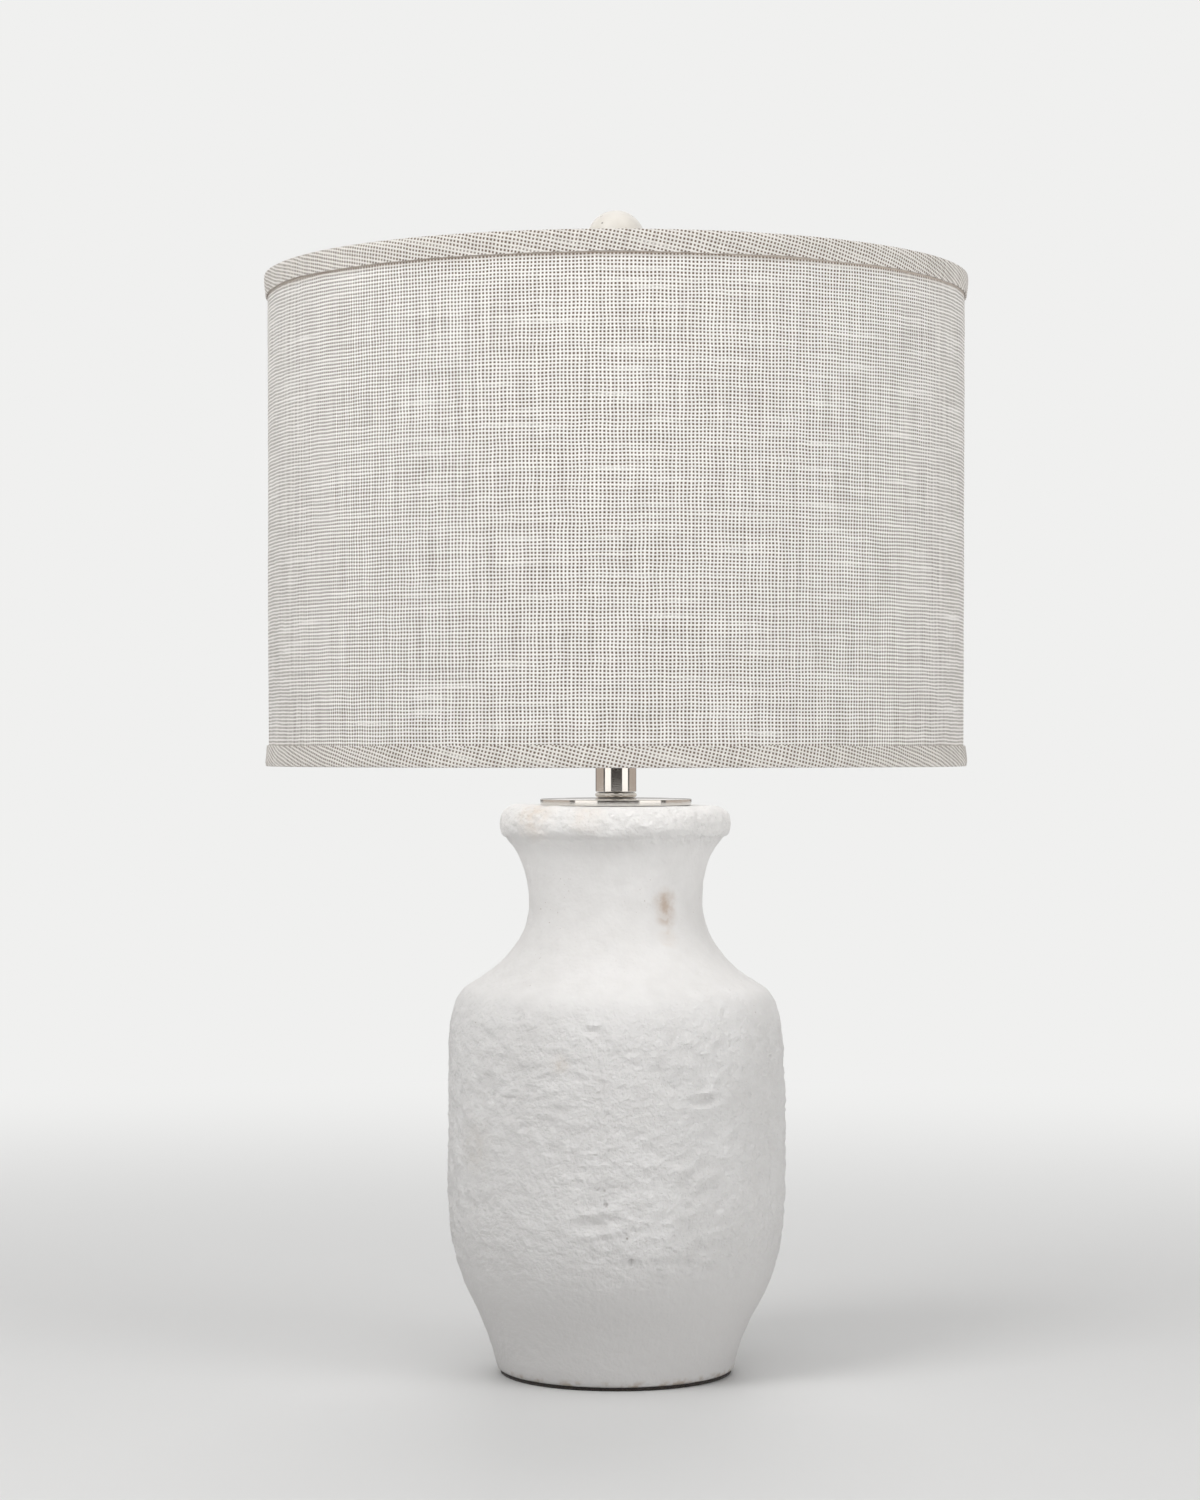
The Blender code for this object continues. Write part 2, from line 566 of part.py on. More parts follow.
def make_ferrules():
    """Two sleeves, each round a tab of the saddle and the foot of the harp beside it."""
    inner_low = HARP_FOOT - HARP_WIRE - RUN
    inner_high = HARP_FOOT + HARP_WIRE + RUN + SADDLE_THICK + RUN
    half = SADDLE_TAB_WIDTH / 2 + RUN
    base = HARP_BASE + GAP
    for side, name in ((-1, "ferrule_left"), (1, "ferrule_right")):
        middle = side * (inner_low + inner_high) / 2
        reach = (inner_high - inner_low) / 2
        outer = (reach + FERRULE_WALL, half + FERRULE_WALL)
        top = base + FERRULE_LENGTH
        sleeve = block((middle - outer[0], -outer[1], base), (middle + outer[0], outer[1], top))
        upright = [edge for edge in sleeve.edges if edge.verts[0].co.z != edge.verts[1].co.z]
        bmesh.ops.bevel(sleeve, geom=upright, offset=FERRULE_WALL, segments=2, profile=0.5, affect="EDGES")
        ferrule = put(name, sleeve, ZINC)
        bore = block((middle - reach, -half, base - RUN), (middle + reach, half, top + RUN))
        cut(ferrule, name + "_bore", bore)


def make_socket():
    outer = SOCKET_RADIUS + GAP + SOCKET_SHEET
    hub_top = SOCKET_BASE + SOCKET_HUB_HEIGHT
    dome = curve(
        (SOCKET_HUB_RADIUS, hub_top), (outer - SOCKET_HUB_RADIUS, 0.0), (0.0, 0.0050), (outer, SHELL_BASE), 4
    )
    inside = [(radius - SOCKET_SHEET, height + SOCKET_SHEET * 0.6) for radius, height in dome[:-1]]
    bore = outer - SOCKET_SHEET
    outline = [(PIPE_HOLE, SOCKET_BASE), (SOCKET_HUB_RADIUS, SOCKET_BASE), (SOCKET_HUB_RADIUS, hub_top)]
    outline += dome + [(outer, SOCKET_CAP_TOP), (bore, SOCKET_CAP_TOP), (bore, SHELL_BASE)] + inside[::-1]
    outline += [(PIPE_HOLE, hub_top + SOCKET_SHEET)]
    cap = put("socket_cap", turn(outline, DISC_SIDES), NICKEL)
    screw_level = SOCKET_BASE + SOCKET_HUB_HEIGHT / 2
    screw_start = PIPE_RADIUS + GAP
    screw_end = SOCKET_HUB_RADIUS + SET_SCREW_RADIUS
    hole = rod(SET_SCREW_RADIUS + GAP, PIPE_RADIUS, screw_end + GAP, SMALL_SIDES)
    cut(cap, "set_screw_hole", lay(hole, (0.0, 0.0, screw_level), TO_RIGHT))
    screw = rod(SET_SCREW_RADIUS, screw_start, screw_end, SMALL_SIDES)
    put("socket_set_screw", lay(screw, (0.0, 0.0, screw_level), TO_RIGHT), ZINC)
    lip = SHELL_BORE - SHELL_LIP
    outline = [(SOCKET_RADIUS, SHELL_BASE), (SOCKET_RADIUS, SHELL_TOP), (SHELL_BORE, SHELL_TOP)]
    outline += [(SHELL_BORE, SHELL_BASE + SOCKET_SHEET), (lip, SHELL_BASE + SOCKET_SHEET), (lip, SHELL_BASE)]
    shell = put("socket_shell", turn(outline, DISC_SIDES), NICKEL)
    sleeve = ring(LINER_BORE, LINER_RADIUS, BLOCK_BASE, SHELL_TOP - GAP, DISC_SIDES)
    liner = put("socket_liner", sleeve, CARD)
    body = put("socket_block", rod(BLOCK_RADIUS, BLOCK_BASE, BLOCK_TOP, DISC_SIDES), PHENOLIC)
    make_switch(shell, liner, body)
    make_terminals(body)
    make_contacts(body)


def make_switch(shell, liner, body):
    """A shaft that points to the front out of the block, and the knob on its end."""
    axis = (0.0, 0.0, KNOB_MIDDLE)
    knob_start = SOCKET_RADIUS + KNOB_STANDOFF
    seat = BLOCK_RADIUS - SHAFT_DEPTH
    holes = ((shell, "shell_slot", 0.0, SHELL_SLOT_AIR), (liner, "liner_slot", 0.0, SHELL_SLOT_AIR - RUN))
    for piece, name, start, air in holes + ((body, "shaft_seat", seat, RUN),):
        cut(piece, name, lay(rod(SHAFT_RADIUS + air, start, knob_start, SMALL_SIDES), axis, TO_FRONT))
    shaft = rod(SHAFT_RADIUS, seat + RUN, knob_start + KNOB_BORE_DEPTH, SMALL_SIDES)
    put("switch_shaft", lay(shaft, axis, TO_FRONT), BRASS, axis)
    bore = SHAFT_RADIUS + GAP
    outline = [(bore, 0.0), (KNOB_TAIL_RADIUS, 0.0), (KNOB_TAIL_RADIUS, KNOB_TAIL)]
    outline += [(KNOB_RADIUS, KNOB_TAIL + KNOB_EDGE), (KNOB_RADIUS, KNOB_LENGTH - KNOB_EDGE)]
    outline += [(KNOB_RADIUS - KNOB_EDGE, KNOB_LENGTH), (0.0, KNOB_LENGTH)]
    outline += [(0.0, KNOB_BORE_DEPTH + RUN), (bore, KNOB_BORE_DEPTH + RUN)]
    knob = turn([(radius, knob_start + along) for radius, along in outline], SMALL_SIDES)
    put("switch_knob", lay(knob, axis, TO_FRONT), PHENOLIC, axis)


def make_terminals(body):
    """Two wire screws in pockets at the sides of the block."""
    reach = TERMINAL_RADIUS + TERMINAL_AIR
    level = BLOCK_BASE + reach
    pocket = BLOCK_RADIUS - TERMINAL_POCKET
    shank = TERMINAL_RADIUS / 2
    tip = pocket - TERMINAL_SHANK
    head = pocket + GAP
    for side, name in ((-1, "terminal_screw_left"), (1, "terminal_screw_right")):
        faces = sorted((side * pocket, side * SOCKET_RADIUS))
        corners = ((faces[0], -reach, level - reach), (faces[1], reach, level + reach))
        cut(body, name + "_pocket", block(*corners))
        place = (0.0, 0.0, level)
        turned = Matrix.Rotation(radians(90 * side), 3, "Y")
        hole = rod(shank + GAP, tip - GAP, head, SMALL_SIDES)
        cut(body, name + "_hole", lay(hole, place, turned))
        outline = [(0.0, tip), (shank, tip), (shank, head), (TERMINAL_RADIUS, head)]
        outline += [(TERMINAL_RADIUS, head + TERMINAL_HEAD), (0.0, head + TERMINAL_HEAD)]
        put(name, lay(turn(outline, SMALL_SIDES), place, turned), BRASS)


def make_contacts(body):
    """The threaded shell that grips the bulb, and the centre contact on the block under it."""
    bore = SCREW_SHELL_RADIUS - SCREW_SHELL_SHEET
    floor = CONTACT_RADIUS + CONTACT_AIR
    outline = [(floor, SCREW_SHELL_BASE), (SCREW_SHELL_RADIUS, SCREW_SHELL_BASE)]
    outline += [(SCREW_SHELL_RADIUS, SCREW_SHELL_TOP), (bore, SCREW_SHELL_TOP)]
    outline += [(bore, SCREW_SHELL_BASE + SCREW_SHELL_SHEET), (floor, SCREW_SHELL_BASE + SCREW_SHELL_SHEET)]
    put("screw_shell", turn(outline, DISC_SIDES), BRASS)
    foot = BLOCK_TOP - CONTACT_FOOT
    leaf = BLOCK_TOP + GAP
    cut(body, "contact_hole", rod(CONTACT_FOOT_RADIUS + GAP, foot - GAP, leaf, SMALL_SIDES))
    outline = [(0.0, foot), (CONTACT_FOOT_RADIUS, foot), (CONTACT_FOOT_RADIUS, leaf)]
    outline += [(CONTACT_RADIUS, leaf), (CONTACT_RADIUS / 2, CONTACT_TOP), (0.0, CONTACT_TOP)]
    put("centre_contact", turn(outline, SMALL_SIDES), BRASS)


def make_bulb():
    tip_top = BULB_BASE + BULB_TIP_THICK
    tip = [(0.0, BULB_BASE), (BULB_TIP_RADIUS / 2, BULB_BASE), (BULB_TIP_RADIUS, tip_top), (0.0, tip_top)]
    put("bulb_tip", turn(tip, SMALL_SIDES), BRASS)
    insulator_base = tip_top + GAP
    insulator_top = BULB_CAP_BASE - GAP
    shoulder = BULB_CAP_RADIUS - BULB_CAP_BEVEL
    insulator = [(0.0, insulator_base), (BULB_TIP_RADIUS, insulator_base)]
    insulator += [(shoulder, insulator_top), (0.0, insulator_top)]
    put("bulb_insulator", turn(insulator, SMALL_SIDES), PHENOLIC)
    inner = BULB_CAP_RADIUS - BULB_CAP_SHEET
    cap = [(shoulder, BULB_CAP_BASE), (BULB_CAP_RADIUS, BULB_CAP_BASE + BULB_CAP_BEVEL)]
    cap += [(BULB_CAP_RADIUS, BULB_CAP_TOP), (inner, BULB_CAP_TOP)]
    cap += [(inner, BULB_CAP_BASE + BULB_CAP_BEVEL), (shoulder - BULB_CAP_SHEET, BULB_CAP_BASE)]
    put("bulb_cap", turn(cap, DISC_SIDES), ZINC)
    neck = inner - GAP
    neck_base = BULB_CAP_TOP - GLASS_IN_CAP
    middle = BULB_TOP - BULB_RADIUS
    steps = 3
    outside = [(neck, neck_base)] + glass_flare(neck, BULB_RADIUS, middle, steps)
    outside += arc((0.0, middle), BULB_RADIUS, GLOBE_START, 90, 2 * steps + 1)[1:]
    inside = [(neck - GLASS_WALL, neck_base)]
    inside += glass_flare(neck - GLASS_WALL, BULB_RADIUS - GLASS_WALL, middle, steps)
    inside += arc((0.0, middle), BULB_RADIUS - GLASS_WALL, GLOBE_START, 90, 2 * steps)[1:]
    put("bulb_glass", turn(outside + inside[::-1], DISC_SIDES), MILK_GLASS)


def glass_flare(neck, radius, middle, steps):
    """The bulb's outline from its straight neck out to the start of its round globe."""
    start = (neck, BULB_CAP_TOP + GLASS_IN_CAP / 4)
    end = arc((0.0, middle), radius, GLOBE_START, 90, 1)[0]
    length = end[1] - start[1]
    way = Vector((-sin(radians(GLOBE_START)), cos(radians(GLOBE_START))))
    return [start] + curve(start, (0.0, length / 2), way * length / 2, end, steps)


def shade_radius(height):
    """The cloth's outer radius at a height; the drum tapers a little towards the bottom."""
    share = (height - SHADE_BOTTOM) / SHADE_HEIGHT
    return SHADE_RADIUS - SHADE_TAPER * (1.0 - share)


def shell_of(inset, thick, base, top):
    """One layer of the drum wall, set in from the cloth's outside."""
    outline = [(shade_radius(base) - inset, base), (shade_radius(top) - inset, top)]
    outline += [(shade_radius(top) - inset - thick, top), (shade_radius(base) - inset - thick, base)]
    return turn(outline, SHADE_SIDES)


def ring_radius(height):
    """Centre line of a frame ring or an arm's end that lies against the liner."""
    return shade_radius(height) - CLOTH_THICK - GAP - STYRENE_THICK - GAP - RING_WIRE


def frame_ring(name, level):
    radius = ring_radius(level)
    section = arc((radius, level), RING_WIRE, 30, 330, 5)
    put(name, turn(section, SHADE_SIDES), NICKEL)


def outer_face(height):
    """The radius at which the binding's outer leg lies on the cloth."""
    return shade_radius(height) + GAP


def inner_face(height):
    """The radius at which the binding's inner leg lies inside the frame ring."""
    return ring_radius(height) - RING_WIRE - GAP


def trim(name, edge, way, depth):
    """Binding folded over an edge of the drum: an outer leg, a web and a shorter inner leg.

    way is +1 where the web is on top and -1 where it is below.
    """
    round_off = TRIM_THICK * 0.6
    web, foot, puff, bend, inner_foot = (
        edge - way * down for down in (TRIM_THICK, depth, depth * 0.35, round_off, TRIM_INSIDE_DEPTH)
    )
    outline = [(outer_face(foot), foot), (outer_face(foot) + TRIM_THICK, foot)]
    outline += [(outer_face(puff) + TRIM_THICK + TRIM_PUFF, puff)]
    outline += [(outer_face(bend) + TRIM_THICK + TRIM_PUFF * 0.8, bend)]
    outline += [(outer_face(edge) + round_off, edge)]
    outline += [(inner_face(edge) - TRIM_THICK + round_off, edge), (inner_face(bend) - TRIM_THICK, bend)]
    outline += [(inner_face(inner_foot) - TRIM_THICK, inner_foot), (inner_face(inner_foot), inner_foot)]
    outline += [(inner_face(web), web), (outer_face(web), web)]
    put(name, turn(outline, SHADE_SIDES), BINDING)


def make_shade():
    inside_top = SHADE_TOP - TRIM_THICK - GAP
    inside_bottom = SHADE_BOTTOM + TRIM_THICK + GAP
    put("shade_cloth", shell_of(0.0, CLOTH_THICK, inside_bottom, inside_top), CLOTH)
    put("shade_liner", shell_of(CLOTH_THICK + GAP, STYRENE_THICK, inside_bottom, inside_top), STYRENE)
    top_level = inside_top - RING_WIRE
    frame_ring("top_ring", top_level)
    frame_ring("bottom_ring", inside_bottom + RING_WIRE)
    trim("top_trim", SHADE_TOP, 1, TOP_TRIM_DEPTH)
    trim("bottom_trim", SHADE_BOTTOM, -1, BOTTOM_TRIM_DEPTH)
    make_spider(top_level - RING_WIRE - GAP)


def make_spider(arm_top):
    """Three arms welded to a hub, each turned up at its end to meet the top ring."""
    level = (HUB_BASE + HUB_TOP) / 2
    spider = put("spider", ring(STUD_HOLE, HUB_RADIUS, HUB_BASE, HUB_TOP, DISC_SIDES), NICKEL)
    reach = ring_radius(level)
    bend = 2 * RING_WIRE
    path = [(HUB_RADIUS - RING_WIRE, level)]
    path += arc((reach - bend, level + bend), bend, -90, 0, 4) + [(reach, arm_top)]
    for count in range(ARM_COUNT):
        arm = wire(path, RING_WIRE)
        around = Matrix.Rotation(radians(90 + 360 * count / ARM_COUNT), 3, "Z")
        weld(spider, f"spider_arm_{count + 1}", lay(arm, (0.0, 0.0, 0.0), around))


def make_finial():
    bore = STUD_RADIUS + GAP
    insert = bore + INSERT_WALL
    insert_base = FINIAL_BASE + GAP
    insert_top = insert_base + INSERT_LENGTH
    put("finial_insert", ring(bore, insert, insert_base, insert_top, SMALL_SIDES), BRASS)
    pocket = insert + GAP
    cup = FINIAL_CUP_RADIUS
    spigot_top = FINIAL_NECK_TOP + FINIAL_SPIGOT_HEIGHT
    waist = (pocket + FINIAL_WALL, FINIAL_BASE + FINIAL_NECK_HEIGHT / 2)
    outline = [(pocket, FINIAL_BASE), (FINIAL_FLANGE_RADIUS, FINIAL_BASE)]
    outline += [(FINIAL_FLANGE_RADIUS, FINIAL_BASE + FINIAL_FLANGE_THICK)]
    outline += curve(outline[-1], (-0.0015, 0.0010), (0.0, 0.0030), waist, 3)
    outline += curve(waist, (0.0, 0.0040), (0.0010, 0.0020), (cup, FINIAL_NECK_TOP - FINIAL_CUP_THICK), 3)
    outline += [(cup, FINIAL_NECK_TOP), (FINIAL_SPIGOT_RADIUS, FINIAL_NECK_TOP)]
    outline += [(FINIAL_SPIGOT_RADIUS, spigot_top), (0.0, spigot_top)]
    outline += [(0.0, insert_top + GAP), (pocket, insert_top + GAP)]
    put("finial_neck", turn(outline, DISC_SIDES), NICKEL)
    flat_radius = sqrt(FINIAL_RADIUS**2 - FINIAL_FLAT**2)
    steps = 10
    lowest = -degrees(asin(FINIAL_FLAT / FINIAL_RADIUS))
    hole = FINIAL_SPIGOT_RADIUS + GAP
    outline = [(hole, BALL_BASE), (flat_radius, BALL_BASE)]
    outline += arc((0.0, BALL_CENTRE), FINIAL_RADIUS, lowest, 90, steps)[1:]
    outline += [(0.0, spigot_top + GAP), (hole, spigot_top + GAP)]
    put("finial_ball", turn(outline, DISC_SIDES), GLAZE)


make_base()
make_pipe_stack()
make_saddle()
make_socket()
make_bulb()
make_harp()
make_ferrules()
make_shade()
make_finial()
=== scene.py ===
"""The looks of a table lamp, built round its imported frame. Metres, +Z up, the front towards -Y."""

from itertools import product
from math import asin, cos, hypot, pi, radians, sin

import bmesh
import bpy
import numpy as np
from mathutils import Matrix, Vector


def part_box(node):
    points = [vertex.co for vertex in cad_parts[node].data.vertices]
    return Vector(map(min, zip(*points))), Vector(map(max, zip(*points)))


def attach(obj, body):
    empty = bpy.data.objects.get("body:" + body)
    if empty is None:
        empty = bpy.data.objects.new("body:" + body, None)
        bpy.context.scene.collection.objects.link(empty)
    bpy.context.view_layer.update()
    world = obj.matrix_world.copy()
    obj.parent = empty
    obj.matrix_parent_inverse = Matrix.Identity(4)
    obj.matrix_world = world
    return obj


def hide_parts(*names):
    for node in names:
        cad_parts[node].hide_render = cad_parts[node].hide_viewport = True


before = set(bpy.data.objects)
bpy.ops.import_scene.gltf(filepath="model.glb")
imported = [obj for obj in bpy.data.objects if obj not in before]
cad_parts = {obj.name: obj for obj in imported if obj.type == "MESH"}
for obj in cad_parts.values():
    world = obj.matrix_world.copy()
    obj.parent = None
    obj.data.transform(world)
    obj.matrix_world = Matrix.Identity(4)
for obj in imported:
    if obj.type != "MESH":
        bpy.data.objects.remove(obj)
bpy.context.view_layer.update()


# Camera: level, a little under the middle of the lamp and just over two metres in front of it.
camera_data = bpy.data.cameras.new("camera")
camera_data.sensor_width = 36.0
camera_data.lens = 84.17
camera = bpy.data.objects.new("camera", camera_data)
camera.location = (-0.0098, -2.159, 0.382)
camera.rotation_euler = (radians(90), 0.0, 0.0)
bpy.context.scene.collection.objects.link(camera)
bpy.context.scene.camera = camera
bpy.context.scene.view_settings.view_transform = "Standard"


# Floor: a plain pale table top. It fades into the backdrop's white with distance, so that no edge
# shows from any side.
class Number:
    """A number that a material works out. Each operator adds the Math node that does its sum."""

    def __init__(self, finish, socket):
        self.finish = finish
        self.socket = socket

    def __add__(self, other):
        return self.finish.maths("ADD", self, other)

    def __sub__(self, other):
        return self.finish.maths("SUBTRACT", self, other)

    def __rsub__(self, other):
        return self.finish.maths("SUBTRACT", other, self)

    def __mul__(self, other):
        return self.finish.maths("MULTIPLY", self, other)

    def __abs__(self):
        return self.finish.maths("ABSOLUTE", self)

    __radd__ = __add__
    __rmul__ = __mul__


class Finish:
    """A material or a world: node() and the methods after it add nodes, dress() fills it in."""

    def __init__(self, name, shader="Principled BSDF", makers=bpy.data.materials):
        self.material = makers.new(name)
        self.material.use_nodes = True
        self.tree = self.material.node_tree
        self.shader = self.tree.nodes[shader]

    def fill(self, socket, value):
        """Links a worked-out value to a socket, or sets a plain one on it."""
        if isinstance(value, Number):
            self.tree.links.new(value.socket, socket)
        elif socket.type == "RGBA":
            socket.default_value = (*value, 1.0)
        else:
            socket.default_value = value

    def node(self, kind, settings=(), inputs=(), output=0):
        """Adds a node of a kind, makes its settings, then fills or links its sockets."""
        made = self.tree.nodes.new(kind)
        for name, value in dict(settings).items():
            setattr(made, name, value)
        for name, value in dict(inputs).items():
            self.fill(made.inputs[name], value)
        return Number(self, made.outputs[output])

    def maths(self, operation, *values):
        return self.node("ShaderNodeMath", {"operation": operation}, enumerate(values))

    def place(self):
        """Where the point is on the object, in metres."""
        return self.node("ShaderNodeTexCoord", output="Object")

    def axes(self, place):
        """The three parts of a place, each as a number."""
        split = self.node("ShaderNodeSeparateXYZ", (), {0: place})
        return [Number(self, socket) for socket in split.socket.node.outputs]

    def stretch(self, place, scale=(1.0, 1.0, 1.0), turn=(0.0, 0.0, 0.0)):
        """The place scaled along the axes and then turned about them."""
        inputs = {"Vector": place, "Scale": scale, "Rotation": turn}
        return self.node("ShaderNodeMapping", (), inputs)

    def noise(self, scale, detail=2.0, place=None):
        """Soft random patches between 0 and 1, scale of them to the metre."""
        inputs = {"Vector": place or self.place(), "Scale": scale, "Detail": detail}
        return self.node("ShaderNodeTexNoise", (), inputs)

    def ease(self, value, low, high):
        """0 below low and 1 above high, with a smooth step between them."""
        inputs = {"Value": value, "From Min": low, "From Max": high}
        return self.node("ShaderNodeMapRange", {"interpolation_type": "SMOOTHSTEP"}, inputs)

    def mix(self, factor, first, second):
        """first where factor is 0 and second where it is 1, for colours."""
        inputs = {0: factor, 6: first, 7: second}
        return self.node("ShaderNodeMix", {"data_type": "RGBA"}, inputs, 2)

    def near(self, point, reach):
        """1 at a point, falling smoothly to 0 at reach from it."""
        inputs = {0: self.place(), 1: point}
        away = self.node("ShaderNodeVectorMath", {"operation": "DISTANCE"}, inputs, "Value")
        return self.ease(away, reach, 0.0)

    def bump(self, height, distance):
        return self.node("ShaderNodeBump", (), {"Distance": distance, "Height": height})

    def dress(self, sockets):
        """Fills the shader's sockets by their names."""
        for name, value in sockets.items():
            self.fill(self.shader.inputs[name], value)
        return self.material


def skin(name, grid, finish, closed=(False, True), threads=None):
    """A mesh over a grid of points, each joined to its neighbours in the next row and column.

    closed says whether the last row and the last column meet the first. threads gives the UV of the
    grid's lines, one list for the rows and one for the columns, each with one more where it closes.
    """
    index = np.arange(grid.shape[0] * grid.shape[1]).reshape(grid.shape[:2])
    row, column = (index.shape[axis] - (not closed[axis]) for axis in (0, 1))
    index = np.pad(index, [(0, int(closed[0])), (0, int(closed[1]))], mode="wrap")
    corners = ((0, 0), (1, 0), (1, 1), (0, 1))
    faces = np.stack([index[i : i + row, j : j + column] for i, j in corners], axis=-1)
    mesh = bpy.data.meshes.new(name)
    mesh.from_pydata(grid.reshape(-1, 3).tolist(), [], faces.reshape(-1, 4).tolist())
    if threads is not None:
        up, along = (np.asarray(line) for line in threads)
        pairs = [(along[None, j : j + column], up[i : i + row, None]) for i, j in corners]
        uv = np.stack([np.stack(np.broadcast_arrays(*pair), -1) for pair in pairs], axis=-2)
        mesh.uv_layers.new(name="threads").data.foreach_set("uv", uv.astype(np.float32).ravel())
    shape = bmesh.new()
    shape.from_mesh(mesh)
    bmesh.ops.remove_doubles(shape, verts=shape.verts, dist=1e-6)
    bmesh.ops.recalc_face_normals(shape, faces=shape.faces)
    shape.to_mesh(mesh)
    shape.free()
    mesh.shade_smooth()
    mesh.set_sharp_from_angle(angle=radians(42))
    mesh.materials.append(finish)
    piece = bpy.data.objects.new(name, mesh)
    bpy.context.scene.collection.objects.link(piece)
    return piece


def spin(outline, sides):
    """A grid of an outline of (radius, height) turned round +Z: x is radius times the cosine."""
    turn = np.arange(sides) * 2 * pi / sides
    radius, height = outline[:, :1], outline[:, 1:]
    flat = np.zeros(sides)
    return np.stack([radius * np.cos(turn), radius * np.sin(turn), height + flat], axis=-1)


BACKDROP = (0.871, 0.871, 0.863)
table_top = Finish("table_top")
shade_of_white = table_top.noise(1.3, 3.0)
pale = table_top.mix(shade_of_white, (0.70, 0.70, 0.695), (0.74, 0.74, 0.735))
table_top.dress({"Base Color": pale, "Roughness": 0.55, "Specular IOR Level": 0.2})
haze = table_top.node("ShaderNodeEmission", (), {"Color": BACKDROP})
x, y, _ = table_top.axes(table_top.place())
far = table_top.ease(table_top.maths("SQRT", x * x + y * y), 0.25, 1.9)
blend = table_top.node("ShaderNodeMixShader", (), {0: far, 2: haze})
table_top.tree.links.new(table_top.shader.outputs[0], blend.socket.node.inputs[1])
table_top.tree.links.new(blend.socket, table_top.tree.nodes["Material Output"].inputs["Surface"])
floor_rings = np.concatenate([np.linspace(0.0, 3.0, 13), [6.0, 12.0, 24.0]])
floor = skin("floor", spin(np.stack([floor_rings, 0.0 * floor_rings], -1), 64), table_top.material)


# Light: soft boxes on the left, on the right and behind, a broad one above and a low one in front,
# in a pale room; the shade's wall lets them past. Polished metal sees a studio of its own, by
# bearing from the front: black, white panels, dark, grey-brown.
def soft_box(name, bearing, rise, away, size, radiance):
    """An area light that faces the lamp's middle, from a bearing to the right of the front and a
    rise, both in degrees. Its power is its radiance times pi times its area."""
    light = bpy.data.lights.new(name, "AREA")
    light.shape = "RECTANGLE"
    light.size, light.size_y = size
    light.energy = radiance * pi * size[0] * size[1]
    middle = Vector((0.0, 0.0, 0.34))
    bearing, rise = radians(bearing), radians(rise)
    way = Vector((sin(bearing) * cos(rise), -cos(bearing) * cos(rise), sin(rise)))
    box = bpy.data.objects.new(name, light)
    box.location = middle + way * away
    box.rotation_euler = way.to_track_quat("Z", "Y").to_euler()
    box.visible_glossy = False
    box.light_linking.blocker_collection = past_shade
    bpy.context.scene.collection.objects.link(box)


past_shade = bpy.data.collections.new("let_light_past")
soft_box("soft_box_left", -46, 38, 2.3, (1.0, 1.2), 5.7)
soft_box("soft_box_right", 56, 14, 2.4, (1.2, 1.6), 3.2)
soft_box("soft_box_above", -10, 74, 2.3, (1.9, 1.9), 1.85)
soft_box("soft_box_rear", 172, 30, 2.4, (1.7, 1.5), 2.2)
soft_box("soft_box_low", -8, 6, 2.6, (1.3, 0.7), 1.2)
studio = Finish("studio", "Background", bpy.data.worlds)
bpy.context.scene.world = studio.material
x, y, z = studio.axes(studio.node("ShaderNodeTexCoord", output="Generated"))
bearing = abs(studio.maths("ARCTAN2", x, y * -1) * (180 / pi) - 3.5)
seen = (0.022, 0.016, 0.013)
for begin, end, colour in (
    (30, 34, (1.45, 1.42, 1.39)),
    (67, 70, (0.05, 0.04, 0.035)),
    (77, 80, (0.52, 0.45, 0.40)),
    (146, 158, (0.16, 0.14, 0.13)),
):
    seen = studio.mix(studio.ease(bearing, begin, end), seen, colour)
above_behind = studio.ease(z, 0.008, 0.06) * studio.ease(bearing, 100, 120)
seen = studio.mix(above_behind, seen, (0.95, 0.94, 0.93))
for_metal = studio.node("ShaderNodeLightPath", output="Is Glossy Ray")
for_camera = studio.node("ShaderNodeLightPath", output="Is Camera Ray")
room = studio.mix(for_metal, (0.16, 0.16, 0.16), seen)
studio.dress({"Color": studio.mix(for_camera, room, BACKDROP)})


# Jar: an earthenware ginger-jar body, slip cast with a floor and a rolled lip, rough with lumps,
# pits and blisters. Its chalky white finish is stained at the lip, neck and foot, and has painted
# shade darkening it towards the foot and inside its smallest pits.
def bezier(start, leave, arrive, end, steps):
    """A cubic curve: its ends weigh by the cubes of the part left and the part passed, and its two
    handles by three times the mixed products. The start is left out."""
    t = np.linspace(0.0, 1.0, steps + 1)[1:, None]
    near, far = np.add(start, leave), np.subtract(end, arrive)
    left = 1 - t
    return left**3 * start + 3 * left**2 * t * near + 3 * left * t**2 * far + t**3 * end


def resample(outline, spacing):
    """Points along an outline, evenly spaced by its own length."""
    length = np.append(0.0, np.cumsum(np.hypot(*np.diff(outline, axis=0).T)))
    stops = np.linspace(0.0, length[-1], max(2, round(length[-1] / spacing) + 1))
    return np.stack([np.interp(stops, length, outline[:, k]) for k in (0, 1)], axis=-1)


def lumps(points, size, seed):
    """Smooth random heights between -1 and 1. Each corner of a lattice of that size holds a random
    number, and a point blends the eight round it by a smooth step."""
    cell = np.floor(points / size).astype(np.int64)
    part = points / size - cell
    part = part * part * (3 - 2 * part)
    total = np.zeros(points.shape[:-1])
    for corner in product((0, 1), repeat=3):
        key = ((cell + corner) * (73856093, 19349663, 83492791)).sum(-1) + seed * 2654435761
        key = (key ^ (key >> 13)) * 1274126177 & 0xFFFFFFFF
        key = ((key ^ (key >> 15)) * 2246822519 & 0xFFFFFFFF) ^ (key >> 7)
        value = (key & 0xFFFF) / 32767.5 - 1
        total += value * np.prod(np.where(corner, part, 1 - part), axis=-1)
    return total


